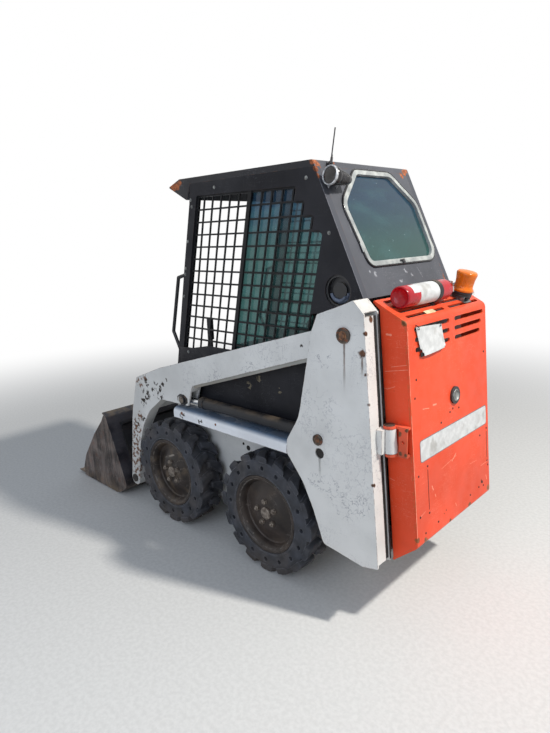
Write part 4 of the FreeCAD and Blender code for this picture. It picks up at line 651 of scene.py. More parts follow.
def dusty_rubber():
    looks = bpy.context.scene.loader_looks.colours
    f = Finish("dusty_rubber")
    rubber, dust = tuple(looks.rubber), tuple(looks.dust)
    tone = f.ramp(f.noise(16.0, 5.0), 0.32, 0.68)
    shade = f.mix(tone, tuple(c * 0.6 for c in rubber[:3]) + (1.0,), tuple(c * 1.5 for c in rubber[:3]) + (1.0,))
    # Pale lug edges: scraped rubber together with a painted highlight
    scrape_and_highlight = f.times(f.edges(0.006), f.ramp(f.noise(28.0, 4.0), 0.36, 0.6))
    shade = f.mix(f.times(scrape_and_highlight, 0.7), shade, srgb(108, 110, 116))
    powder = f.times(f.ramp(f.noise(8.0, 5.0), 0.46, 0.74), 0.16)
    low = f.ramp(f.math("MULTIPLY_ADD", f.noise(13.0, 4.0), 0.10, f.z), 0.19, 0.03)
    inward = f.ramp(f.math("ABSOLUTE", f.y), 0.425, 0.36, 0.35, 1.0)
    shade = f.mix(f.most(powder, f.times(low, inward, 0.6)), shade, dust)
    height = f.math("ADD", f.noise(70.0, 5.0), f.math("MULTIPLY", f.noise(16.0, 3.0), 0.8))
    return f.close(shade, f.ramp(tone, 0.0, 1.0, 0.62, 0.84), height, 0.35, 0.0014, specular_ior_level=0.35)


RIM_SCUFFS = [
    # the two ends and the width of pale rubs on the rims
    ((800, 402, 352), (695, 412, 398), 7.0),
    ((640, 424, 175), (720, 430, 148), 12.0),
    ((845, 420, 330), (850, 424, 290), 8.0),
    ((130, 420, 205), (90, 424, 160), 7.0),
]


def brown_rim():
    looks = bpy.context.scene.loader_looks.colours
    f = Finish("brown_rim")
    tone = f.ramp(f.noise(9.0, 5.0), 0.34, 0.68)
    shade = f.mix(tone, srgb(40, 35, 33), srgb(62, 54, 50))
    rub = f.times(f.lines(12.0, 0.012, detail=4.0), f.ramp(f.noise(5.0, 2.0), 0.46, 0.6))
    shade = f.mix(f.times(rub, 0.5), shade, srgb(118, 110, 104))
    # Pale edges: painted highlight along the rim's edges
    shade = f.mix(f.times(f.edges(0.003), f.ramp(f.noise(40.0, 3.0), 0.4, 0.6), 0.45), shade, srgb(140, 134, 128))
    front = f.ramp(f.x, 0.0, 0.1, 0.25, 1.0)
    dusty = f.times(f.ramp(f.noise(15.0, 5.0), 0.46, 0.70), front, 0.32)
    shade = f.mix(dusty, shade, tuple(looks.dust))
    for start, end, width in RIM_SCUFFS:
        shade = f.mix(f.times(f.stroke(at(*start), at(*end), mm(width)), 0.75), shade, srgb(150, 142, 132))
    return f.close(shade, f.math("MULTIPLY_ADD", dusty, 0.35, f.ramp(tone, 0.0, 1.0, 0.36, 0.5), clamp=True),
                   f.noise(46.0, 4.0), 0.25, 0.0012, metallic=0.1, specular_ior_level=0.3)


def greasy_iron():
    f = Finish("greasy_iron")
    tone = f.ramp(f.noise(18.0, 5.0), 0.34, 0.7)
    shade = f.mix(tone, srgb(30, 28, 27), srgb(72, 66, 60))
    return f.close(shade, f.ramp(tone, 0.0, 1.0, 0.3, 0.66), f.noise(60.0, 5.0), 0.5, 0.003, metallic=0.3)


def pale_floor():
    """Pale ground that runs out into the white surround, for the camera and in reflections."""
    f = Finish("pale_floor")
    grain = f.noise(60.0, 4.0)
    tone = f.mix(f.ramp(grain, 0.3, 0.7), srgb(205, 204, 202), srgb(214, 213, 211))
    away = f.add("ShaderNodeVectorMath", {0: f.place}, operation="LENGTH").outputs["Value"]
    path = f.add("ShaderNodeLightPath").outputs
    seen = f.most(path["Is Camera Ray"], path["Is Glossy Ray"], path["Is Transmission Ray"])
    share = f.times(f.ramp(away, 2.2, 6.0), seen)
    matte = f.add("ShaderNodeBsdfDiffuse", {"Color": tone})
    glow = f.add("ShaderNodeEmission", {"Color": (1.0, 1.0, 1.0, 1.0), "Strength": 1.0})
    joined = f.add("ShaderNodeMixShader", {0: share, 1: matte.outputs[0], 2: glow.outputs[0]})
    f.add("ShaderNodeOutputMaterial", {"Surface": joined.outputs[0]})
    return f.material


MAKERS = (chalky_white, glossy_rail, charcoal_shell, sooty_shell, faded_orange, rusty_orange, dirty_black,
          mesh_black, oily_steel, polished_rod, worn_nut, dull_zinc, scraped_steel, grey_seal, tint_and_sky_pane, moulded_plastic, creased_vinyl, bottle_red, blank_label,
          pale_bezel, blue_hose, weathered_lip, rusty_steel, cream_tape, grey_line, ribbed_amber, lamp_glass, smoked_bowl, black_rubber, dark_gap, dusty_rubber, brown_rim, greasy_iron, pale_floor)


def finish(name):
    """The material of that name, made when it is first asked for."""
    made = bpy.data.materials.get(name)
    if made is not None:
        return made
    makers = {maker.__name__: maker for maker in MAKERS}
    return makers[name]()


# Mesh building


def around(axis):
    """Two directions square to an axis."""
    axis = Vector(axis).normalized()
    side = Vector((0.0, 0.0, 1.0)) if abs(axis.z) < 0.9 else Vector((1.0, 0.0, 0.0))
    first = (side - axis * side.dot(axis)).normalized()
    return first, axis.cross(first)


class Shape:
    """A mesh that grows by skins between rings of points, in frame metres."""

    def __init__(self):
        self.bm = bmesh.new()

    def skin(self, rings, wrap=True, caps=True, loop=False):
        """Faces between neighbouring rings, with the ends closed."""
        rows = [[self.bm.verts.new(p) for p in ring] for ring in rings]
        pairs = list(zip(rows, rows[1:]))
        if loop:
            pairs.append((rows[-1], rows[0]))
        for low, high in pairs:
            count = len(low)
            for i in range(count if wrap else count - 1):
                j = (i + 1) % count
                self.bm.faces.new((low[i], low[j], high[j], high[i]))
        if caps and not loop:
            self.bm.faces.new(rows[0][::-1])
            self.bm.faces.new(rows[-1])

    def lathe(self, centre, axis, profile, steps=48, start=0.0, caps=True, loop=False):
        """Turns (radius, height) pairs round an axis; a closed profile loops."""
        first, second = around(axis)
        axis = Vector(axis).normalized()
        rings = []
        for radius, height in profile:
            ring = []
            for i in range(steps):
                turn = start + 2.0 * math.pi * i / steps
                ring.append(centre + axis * height
                            + (first * math.cos(turn) + second * math.sin(turn)) * max(radius, 1e-5))
            rings.append(ring)
        self.skin(rings, caps=caps, loop=loop)

    def tube(self, points, radius, sides=12, caps=True):
        """Round bar along points, carried round bends without twist."""
        side = None
        rings = []
        for i, point in enumerate(points):
            ahead = points[min(i + 1, len(points) - 1)] - points[max(i - 1, 0)]
            ahead.normalize()
            if side is None:
                side = around(ahead)[0]
            side = (side - ahead * side.dot(ahead)).normalized()
            other = ahead.cross(side)
            rings.append([point + (side * math.cos(a) + other * math.sin(a)) * radius
                          for a in (2.0 * math.pi * k / sides for k in range(sides))])
        self.skin(rings, caps=caps)

    def slab(self, outline, along):
        """Plate: an outline carried by a vector."""
        self.skin([list(outline), [p + along for p in outline]])

    def box(self, centre, axes, sizes):
        """Block of full sizes along three directions."""
        a, b, c = (Vector(axis).normalized() * size / 2.0 for axis, size in zip(axes, sizes))
        self.slab([centre - a - b - c, centre + a - b - c, centre + a + b - c, centre - a + b - c], c * 2.0)

    def mirror_y(self):
        bmesh.ops.scale(self.bm, vec=(1.0, -1.0, 1.0), verts=self.bm.verts)

    def shift(self, offset):
        bmesh.ops.translate(self.bm, vec=offset, verts=self.bm.verts)

    def close(self, name, angle=38.0):
        """The finished mesh, smooth but for its sharp corners."""
        bmesh.ops.remove_doubles(self.bm, verts=self.bm.verts, dist=2e-5)
        bmesh.ops.recalc_face_normals(self.bm, faces=self.bm.faces)
        mesh = bpy.data.meshes.new(name)
        self.bm.to_mesh(mesh)
        self.bm.free()
        smooth(mesh, angle)
        return mesh


def bolt_head(shape, place, axis, radius, tall, turn=0.0):
    """Six-sided head on a thin round washer."""
    shape.lathe(place, axis, [(radius * 1.4, 0.0), (radius * 1.4, tall * 0.16), (radius * 1.3, tall * 0.22)], steps=24)
    shape.lathe(place, axis, [(radius, tall * 0.2), (radius, tall * 0.86), (radius * 0.84, tall)], steps=6, start=turn)


def smooth(mesh, angle=38.0):
    mesh.polygons.foreach_set("use_smooth", [True] * len(mesh.polygons))
    mesh.set_sharp_from_angle(angle=math.radians(angle))
    mesh.update()


def settle(thing):
    """Turns an object's modifiers into its mesh."""
    graph = bpy.context.evaluated_depsgraph_get()
    mesh = bpy.data.meshes.new_from_object(thing.evaluated_get(graph))
    thing.modifiers.clear()
    thing.data = mesh


def piece(name, mesh, body, finishes, round_off=0.0, stands_for=()):
    """Puts a mesh in the scene as a piece of the machine."""
    thing = bpy.data.objects.new(name, mesh)
    bpy.context.scene.collection.objects.link(thing)
    for label in (finishes,) if isinstance(finishes, str) else finishes:
        mesh.materials.append(finish(label))
    if round_off:
        bevel = thing.modifiers.new("rounding", "BEVEL")
        bevel.width = round_off
        bevel.segments = 2
        bevel.limit_method = "ANGLE"
        bevel.angle_limit = math.radians(40.0)
        settle(thing)
        smooth(thing.data, 50.0)
    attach(thing, body)
    if stands_for:
        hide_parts(*stands_for)
    return thing


# Painted frame


NODE_FINISHES = {
    "chalky_white": ("uprights", "lift_arms", "arm_cross_member", "chassis_tub"),
    "glossy_rail": ("fenders",),
    "charcoal_shell": ("cab_roof", "cab_rear_panel"),
    "sooty_shell": ("cab_sides", "cab_seat_panel"),
    "faded_orange": ("door_shell", "door_sides"),
    "rusty_orange": ("door_hinge", "coupler_levers"),
    "dirty_black": ("lift_barrel_left", "lift_barrel_right", "tilt_barrel", "coupler_frame", "seat_bar",
                    "grab_handles", "antenna", "extinguisher_strap"),
    "mesh_black": ("side_screens",),
    "oily_steel": ("frame_pins", "axle_tubes"),
    "polished_rod": ("lift_rod_left", "lift_rod_right", "tilt_rod"),
    "scraped_steel": ("bucket_shell", "cutting_edge"),
    "grey_seal": ("rear_window_seal",),
    "tint_and_sky_pane": ("rear_window_glass", "side_glass"),
    "moulded_plastic": ("cab_vents", "work_lamp", "control_levers", "beacon_base", "door_latch"),
    "greasy_iron": ("engine_block",),
}


class LOADER_OT_paint(bpy.types.Operator):
    """Give every plain part of the machine its worn finish"""
    bl_idname = "loader.paint"
    bl_label = "Paint the machine"

    def execute(self, context):
        for label, nodes in NODE_FINISHES.items():
            for node in nodes:
                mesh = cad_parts[node].data
                mesh.materials.clear()
                mesh.materials.append(finish(label))
        return {"FINISHED"}


# Wheels


def wheel_place(corner):
    """Axle centre of a wheel and the side it is on."""
    side = 1.0 if corner.endswith("left") else -1.0
    x = WHEEL_BASE if corner.startswith("front") else 0.0
    return at(x, side * WHEEL_MIDDLE_Y, AXLE_Z), side


def ring_point(radius, y, turn):
    """Point on a wheel's cylinder; turn runs forward from the top."""
    return Vector((radius * math.sin(turn), y, radius * math.cos(turn)))


def tyre_carcass(tyre):
    half = tyre.half_width
    base = tyre.tread_radius
    outer = [(0.1686, half - 0.0085), (0.1866, half - 0.0082), (0.1885, half - 0.003), (0.1905, half - 0.0006),
             (0.1940, half), (0.1962, half - 0.0014), (0.1984, half), (0.204, half), (0.212, half - 0.0016),
             (tyre.hole_ring, half - 0.0022), (0.244, half - 0.0014), (0.252, half - 0.0012),
             (base - 0.004, half - 0.0035), (base, half - 0.012), (base, 0.012)]
    section = outer + [(r, -y) for r, y in reversed(outer)]
    shape = Shape()
    shape.lathe(Vector((0.0, 0.0, 0.0)), (0.0, 1.0, 0.0), section, steps=128, caps=False, loop=True)
    return shape.close("tyre_carcass", 30.0)


def hole_cutter(tyre):
    shape = Shape()
    for sign in (1.0, -1.0):
        for i in range(tyre.lugs):
            turn = 2.0 * math.pi * (i + (0.0 if sign > 0 else 0.5)) / tyre.lugs
            foot = ring_point(tyre.hole_ring, sign * (tyre.half_width - 0.030), turn)
            shape.lathe(foot, (0.0, sign, 0.0), [(tyre.hole_radius, 0.0), (tyre.hole_radius, 0.0245),
                                                (tyre.hole_radius + 0.0016, 0.0285),
                                                (tyre.hole_radius + 0.004, 0.034)], steps=20)
    return shape.close("hole_cutter", 30.0)


def tread_lug(shape, tyre, sign, turn):
    """Lug that narrows and leads forward from the shoulder to just past the middle."""
    base = tyre.tread_radius - 0.004
    rings = []
    for share in (0.0, 0.10, 0.25, 0.42, 0.6, 0.78, 0.92, 1.0):
        y = sign * (tyre.half_width * (1.0 - share) - 0.007 * share)
        lead = tyre.lug_lead * (1.0 - (1.0 - share) ** 1.7)
        wide = tyre.lug_width / 2.0 + (tyre.lug_tip / 2.0 - tyre.lug_width / 2.0) * share ** 0.75
        crown = tyre.radius - 0.0035 * (1.0 - share) ** 3 - (0.002 if share == 1.0 else 0.0)
        ring = []
        for reach, radius in ((-wide - 0.0055, base), (-wide - 0.002, base + 0.007), (-wide, crown - 0.007),
                              (-wide + 0.004, crown - 0.0012), (-wide * 0.4, crown), (wide * 0.4, crown),
                              (wide - 0.004, crown - 0.0012), (wide, crown - 0.007),
                              (wide + 0.002, base + 0.007), (wide + 0.0055, base)):
            ring.append(ring_point(radius, y, turn + (lead + reach) / tyre.radius))
        rings.append(ring)
    shape.skin(rings)


def tread(tyre):
    shape = Shape()
    for sign in (1.0, -1.0):
        for i in range(tyre.lugs):
            turn = 2.0 * math.pi * (i + (0.0 if sign > 0 else 0.5)) / tyre.lugs
            tread_lug(shape, tyre, sign, turn)
    return shape.close("tread", 40.0)


def tyre_mesh(tyre):
    """Carcass with its cushion holes and rounded lugs, round the origin."""
    scene = bpy.context.scene.collection
    carcass = bpy.data.objects.new("carcass", tyre_carcass(tyre))
    cutter = bpy.data.objects.new("cutter", hole_cutter(tyre))
    lugs = bpy.data.objects.new("lugs", tread(tyre))
    for thing in (carcass, cutter, lugs):
        scene.objects.link(thing)
    bore = carcass.modifiers.new("holes", "BOOLEAN")
    bore.object = cutter
    bore.solver = "EXACT"
    settle(carcass)
    rounding = lugs.modifiers.new("rounding", "BEVEL")
    rounding.width = 0.003
    rounding.segments = 2
    rounding.limit_method = "ANGLE"
    rounding.angle_limit = math.radians(50.0)
    settle(lugs)
    bm = bmesh.new()
    bm.from_mesh(carcass.data)
    bm.from_mesh(lugs.data)
    mesh = bpy.data.meshes.new("tyre")
    bm.to_mesh(mesh)
    bm.free()
    for thing in (carcass, cutter, lugs):
        bpy.data.objects.remove(thing)
    return mesh


def moved_copy(mesh, name, centre, side):
    """The wheel mesh at a corner of the machine, mirrored on the right."""
    bm = bmesh.new()
    bm.from_mesh(mesh)
    if side < 0:
        bmesh.ops.scale(bm, vec=(1.0, -1.0, 1.0), verts=bm.verts)
        bmesh.ops.reverse_faces(bm, faces=bm.faces)
    bmesh.ops.translate(bm, vec=centre, verts=bm.verts)
    copy = bpy.data.meshes.new(name)
    bm.to_mesh(copy)
    bm.free()
    smooth(copy, 34.0)
    return copy


class LOADER_OT_tyres(bpy.types.Operator):
    """Fit solid tyres with a ring of cushion holes and interlocking lugs"""
    bl_idname = "loader.tyres"
    bl_label = "Tyres"

    def execute(self, context):
        plain = tyre_mesh(context.scene.loader_looks.tyre)
        for corner in CORNERS:
            centre, side = wheel_place(corner)
            name = "lugged_tyre_" + corner
            piece(name, moved_copy(plain, name, centre, side), "wheel_" + corner, "dusty_rubber",
                  stands_for=("tyre_" + corner,))
        return {"FINISHED"}


RIM_SECTION = [
    # radius and distance out from the tyre's middle, in millimetres
    (0.0, 63.0), (12.0, 63.6), (22.0, 62.6), (27.0, 59.0), (28.5, 53.4), (33.0, 52.6), (74.0, 52.4), (79.0, 50.6),
    (98.0, 41.0), (124.0, 29.6), (140.0, 26.0), (149.0, 26.4), (153.5, 30.0), (156.0, 40.0), (160.0, 54.0),
    (168.0, 63.0), (175.0, 69.6), (181.0, 72.0), (185.4, 71.4), (187.2, 68.4), (185.8, 65.4), (168.0, 65.0),
    (168.0, -65.0), (185.8, -65.4), (187.2, -68.4), (185.4, -71.4), (178.0, -72.0), (168.0, -66.0),
    (156.0, -58.0), (153.0, 14.0), (146.0, 16.2), (124.0, 19.6), (98.0, 31.0), (76.0, 42.4), (31.0, 42.4),
    (30.0, -88.0), (0.0, -88.0),
]


def wheel_nut(shape, centre, radius, turn):
    shape.lathe(centre, (0.0, 1.0, 0.0), [(radius * 1.14, 0.0), (radius * 1.14, 0.0016), (radius, 0.0018),
                                          (radius, 0.0105), (radius * 0.86, 0.0125)], steps=6, start=turn)
    shape.lathe(centre, (0.0, 1.0, 0.0), [(radius * 0.52, 0.01), (radius * 0.52, 0.0165), (radius * 0.4, 0.0185)],
                steps=14)


def rim_mesh():
    shape = Shape()
    section = [(mm(r), mm(y)) for r, y in RIM_SECTION]
    shape.lathe(Vector((0.0, 0.0, 0.0)), (0.0, 1.0, 0.0), section, steps=96, caps=False)
    return shape.close("rim", 32.0)


def nuts_mesh(rim):
    shape = Shape()
    shape.lathe(Vector((0.0, 0.0526, 0.0)), (0.0, 1.0, 0.0), [(0.0298, 0.0), (0.0292, 0.0070), (0.0240, 0.0106),
                                                             (0.0125, 0.0116), (0.0, 0.0110)], steps=40, caps=False)
    for i in range(rim.nuts):
        turn = 2.0 * math.pi * i / rim.nuts + 0.14
        wheel_nut(shape, ring_point(rim.nut_ring, 0.0522, turn), rim.nut_radius, turn)
    return shape.close("nuts", 32.0)


class LOADER_OT_rims(bpy.types.Operator):
    """Fit dished rims with their hub caps and wheel nuts"""
    bl_idname = "loader.rims"
    bl_label = "Rims"

    def execute(self, context):
        plain = rim_mesh()
        nuts = nuts_mesh(context.scene.loader_looks.rim)
        for corner in CORNERS:
            centre, side = wheel_place(corner)
            name = "dished_rim_" + corner
            piece(name, moved_copy(plain, name, centre, side), "wheel_" + corner, "brown_rim",
                  stands_for=("rim_" + corner,))
            name = "wheel_nuts_" + corner
            piece(name, moved_copy(nuts, name, centre, side), "wheel_" + corner, "worn_nut")
        return {"FINISHED"}


# Rear door


DOOR_BEND = (-662.0, 1220.0)
DOOR_FOOT = (-729.0, 355.0)
DOOR_TOP_FRONT = (-523.0, 1293.6)
ACROSS = Vector((0.0, 1.0, 0.0))


def flat_out(start, end):
    """Direction out of a cover that runs from start up to end in side view."""
    run = Vector((end[0] - start[0], 0.0, end[1] - start[1])).normalized()
    return Vector((-run.z, 0.0, run.x))


REAR_OUT = flat_out(DOOR_FOOT, DOOR_BEND)
REAR_UP = Vector((-REAR_OUT.z, 0.0, REAR_OUT.x)) * -1.0
TOP_OUT = flat_out(DOOR_BEND, DOOR_TOP_FRONT)


def on_rear(y, z, out=0.0):
    """Point off the door's rear face, by its height."""
    share = (DOOR_BEND[1] - z) / (DOOR_BEND[1] - DOOR_FOOT[1])
    x = DOOR_BEND[0] + (DOOR_FOOT[0] - DOOR_BEND[0]) * share
    return at(x, y, z) + REAR_OUT * mm(out)


def on_top(rise, y, out=0.0):
    """Point off the door's top cover, by its distance up from the bend."""
    run = Vector((DOOR_TOP_FRONT[0] - DOOR_BEND[0], 0.0, DOOR_TOP_FRONT[1] - DOOR_BEND[1])).normalized()
    return at(DOOR_BEND[0] + run.x * rise, y, DOOR_BEND[1] + run.z * rise) + TOP_OUT * mm(out)


def rounded_outline(corners, radius, place, steps=5):
    """Corners joined with arcs and put through a placing function."""
    points = []
    count = len(corners)
    for i in range(count):
        here = Vector(corners[i][:2])
        bend = corners[i][2] if len(corners[i]) > 2 else radius
        back = (Vector(corners[i - 1][:2]) - here).normalized()
        ahead = (Vector(corners[(i + 1) % count][:2]) - here).normalized()
        half = back.angle(ahead) / 2.0
        reach = bend / math.tan(half)
        start, end = here + back * reach, here + ahead * reach
        centre = here + (back + ahead).normalized() * bend / math.sin(half)
        for k in range(steps + 1):
            spoke = (start - centre).slerp(end - centre, k / steps)
            points.append(place(*(centre + spoke.normalized() * bend)))
    return points


PLATE = [(275, 1199), (86, 1187), (66, 1094), (244, 1086)]


def plate_point(u, v, out):
    """Point on the bent blank plate: u runs left to right and v top to bottom, each from 0 to 1."""
    a, b, c, d = PLATE
    top = (a[0] + (b[0] - a[0]) * u, a[1] + (b[1] - a[1]) * u)
    low = (d[0] + (c[0] - d[0]) * u, d[1] + (c[1] - d[1]) * u)
    y, z = top[0] + (low[0] - top[0]) * v, top[1] + (low[1] - top[1]) * v
    curl = 5.0 + 7.0 * (v - 0.2) ** 2 + 5.0 * math.sin(u * math.pi) * v + 4.0 * max(0.0, u - 0.75) * v
    return on_rear(y, z, curl + out)


def blank_plate():
    """Thin pressed plate with a raised rim and torn lower corners."""
    shape = Shape()
    columns, rows = 28, 16
    grids = []
    for side in (0.0, 1.2):
        grid = []
        for j in range(rows + 1):
            row = []
            for i in range(columns + 1):
                u, v = i / columns, j / rows
                border = min(u * 1.8, (1 - u) * 1.8, v, 1 - v)
                raised = 1.1 if 0.05 < border < 0.12 else 0.0
                row.append(shape.bm.verts.new(plate_point(u, v, side + raised)))
            grid.append(row)
        grids.append(grid)
    for grid in grids:
        for j in range(rows):
            for i in range(columns):
                corner = (i < 2 and j > rows - 3) or (i > columns - 3 and j > rows - 2) or (i < 1 and j > rows - 5)
                if not corner:
                    shape.bm.faces.new((grid[j][i], grid[j][i + 1], grid[j + 1][i + 1], grid[j + 1][i]))
    return shape.close("plate", 50.0)


STICKER = (276.0, 769.0, -304.0, 681.0)
SCREWS = [
    # y and z of small screws and plugs in the rear face
    (280, 1006), (295, 939), (-295, 1012), (106, 796), (-47, 820), (5, 829), (30, 820), (295, 636), (296, 471),
    (159, 398), (260, 392), (-237, 644), (-312, 484), (-261, 402), (-214, 410), (-129, 404), (226, 655), (226, 463),
    (-305, 506), (-305, 660),
]
# Ends of two slits; thin dark strips along them are painted shade
SLITS = [((226, 642), (226, 477)), ((-305, 645), (-305, 520))]


def sticker_band(shape, inset, low, high):
    left, top, right, foot = STICKER
    corners = [(left - inset, top - inset), (right + inset, top - inset), (right + inset, foot + inset),
               (left - inset, foot + inset)]
    outline = rounded_outline(corners, 12.0 - inset * 0.6, lambda y, z: on_rear(y, z, low))
    shape.slab(outline, REAR_OUT * mm(high - low))


class LOADER_OT_door(bpy.types.Operator):
    """Add the blank plate, blank sticker, lock cup, screws and the dark strips of painted shade along the slits of the
    rear door
    """
    bl_idname = "loader.door"
    bl_label = "Rear door trim"

    def execute(self, context):
        door = context.scene.loader_looks.door
        piece("blank_plate", blank_plate(), "rear_door", "blank_label")
        ties = Shape()
        for y, z in ((262, 1189), (100, 1180)):
            ties.tube([on_rear(y, z, -6.0), on_rear(y, z, 12.0), on_rear(y + 4, z + 8, 13.0),
                       on_rear(y + 5, z + 16, 4.0), on_rear(y + 5, z + 18, -6.0)], 0.0018, 8)
        for y, z in ((238, 1093), (76, 1100)):
            ties.box(on_rear(y, z, 6.0), (ACROSS, REAR_UP, REAR_OUT), (0.022, 0.016, 0.003))
        piece("plate_ties", ties.close("plate_ties"), "rear_door", "dark_gap", 0.0008)
        edge = Shape()
        sticker_band(edge, 0.0, 0.15, 0.55)
        piece("sticker_edge", edge.close("sticker_edge"), "rear_door", "grey_line")
        face = Shape()
        sticker_band(face, 3.2, 0.3, 0.95)
        piece("blank_sticker", face.close("blank_sticker"), "rear_door", "blank_label")
        cup = Shape()
        r = door.ring_radius
        centre = on_rear(-11, 882, 0.3)
        cup.lathe(centre, REAR_OUT, [(r * 0.68, 0.0035), (r * 0.68, 0.0085), (r * 0.62, 0.0110), (r * 0.56, 0.0095),
                                     (r * 0.46, 0.0042), (r * 0.20, 0.0036), (0.0, 0.0036)], steps=48, caps=False)
        piece("lock_cup", cup.close("lock_cup", 60.0), "rear_door", "dull_zinc")
        tape = Shape()
        corners = [(21.0, 150.0), (21.0, 76.0), (41.0, 76.0), (41.0, 150.0)]
        tape.slab(rounded_outline(corners, 2.0, lambda rise, y: on_top(rise, y, 0.2), 3), TOP_OUT * 0.0006)
        piece("blank_tape", tape.close("blank_tape"), "rear_door", "cream_tape")
        screws = Shape()
        size = door.screw_radius
        for y, z in SCREWS:
            screws.lathe(on_rear(y, z, 0.1), REAR_OUT, [(size, 0.0), (size * 0.95, 0.0008), (size * 0.6, 0.0018),
                                                       (0.0, 0.0021)], steps=14)
        piece("door_screws", screws.close("door_screws", 60.0), "rear_door", "dark_gap")
        # Painted shade: thin dark strips along the slits
        slits = Shape()
        for (y0, z0), (y1, z1) in SLITS:
            slits.box((on_rear(y0, z0, 0.25) + on_rear(y1, z1, 0.25)) / 2.0, (ACROSS, REAR_UP, REAR_OUT),
                      (0.0028, mm(z0 - z1), 0.0007))
        piece("slit_shades", slits.close("slit_shades"), "rear_door", "dark_gap")
        return {"FINISHED"}


# Extinguisher and beacon


BOTTLE_AXIS = (-599.7, 1303.1)


class LOADER_OT_extinguisher(bpy.types.Operator):
    """Lay the red bottle with its blank label, valve and lever across the top cover"""
    bl_idname = "loader.extinguisher"
    bl_label = "Extinguisher"

    def execute(self, context):
        x, z = BOTTLE_AXIS
        start = at(x, 275.0, z)
        down = Vector((0.0, -1.0, 0.0))
        bottle = Shape()
        profile = [(0.0, 0.010), (0.026, 0.009), (0.033, 0.004), (0.0362, 0.0), (0.0392, 0.0006), (0.0408, 0.0035),
                   (0.041, 0.008), (0.041, 0.322), (0.0398, 0.334), (0.0355, 0.347), (0.0275, 0.357), (0.019, 0.3625),
                   (0.0165, 0.366), (0.0165, 0.372), (0.0, 0.372)]
        bottle.lathe(start, down, profile, steps=72, caps=False)
        piece("bottle", bottle.close("bottle", 40.0), "rear_door", "bottle_red",
              stands_for=("extinguisher",))
        label = Shape()
        label.lathe(start, down, [(0.0409, 0.086), (0.0414, 0.0865), (0.0414, 0.2435), (0.0409, 0.244)], steps=72,
                    caps=False)
        corner = []
        for k in range(13):
            turn = math.radians(20.0 + 5.0 * k)
            spoke = Vector((-math.cos(turn), 0.0, math.sin(turn)))
            corner.append([start + down * reach + spoke * radius
                           for reach, radius in ((0.040, 0.0409), (0.0405, 0.0414), (0.0865, 0.0414), (0.087, 0.0409))])
        label.skin(corner)
        piece("bottle_label", label.close("bottle_label"), "rear_door", "blank_label")
        valve = Shape()
        valve.lathe(start, down, [(0.0, 0.371), (0.0125, 0.371), (0.0125, 0.378), (0.0155, 0.379), (0.0155, 0.387),
                                  (0.0118, 0.388), (0.0118, 0.401), (0.0, 0.401)], steps=24, caps=False)
        valve.box(at(x, -113.0, z + 14.0), ((1, 0, 0), (0, 1, 0), (0, 0, 1)), (0.016, 0.022, 0.026))
        valve.lathe(at(x, -113.0, z - 4.0), (-1.0, 0.0, 0.0), [(0.0, 0.0), (0.0125, 0.0), (0.0125, 0.017),
                                                              (0.0105, 0.0185), (0.0, 0.0185)], steps=24, caps=False)
        piece("bottle_valve", valve.close("bottle_valve"), "rear_door", "polished_rod", 0.001)
        lever = Shape()
        lever.box(at(x, -96.0, z + 30.0), ((1, 0, 0), (0, 1, 0.16), (0, -0.16, 1)), (0.015, 0.062, 0.0028))
        lever.box(at(x, -92.0, z + 21.0), ((1, 0, 0), (0, 1, -0.06), (0, 0.06, 1)), (0.017, 0.054, 0.0030))
        piece("bottle_lever", lever.close("bottle_lever"), "rear_door", "dirty_black", 0.001)
        return {"FINISHED"}


BEACON_FOOT = (-603.0, -208.0)
BEACON_UP = Vector((-math.sin(math.radians(14.0)), 0.0, math.cos(math.radians(14.0))))
DOME_SECTION = [
    # radius, height over the foot and how deep the ribs are, in millimetres
    (43.0, 34.2, 0.0), (44.5, 37.0, 0.0), (44.5, 42.0, 0.0), (42.5, 44.5, 0.0), (38.0, 50.0, 0.4), (37.0, 60.0, 0.5),
    (38.5, 82.0, 0.5), (43.0, 106.0, 0.3), (42.6, 112.0, 0.0), (38.0, 116.5, 0.0), (18.0, 118.6, 0.0),
    (0.01, 119.2, 0.0),
]


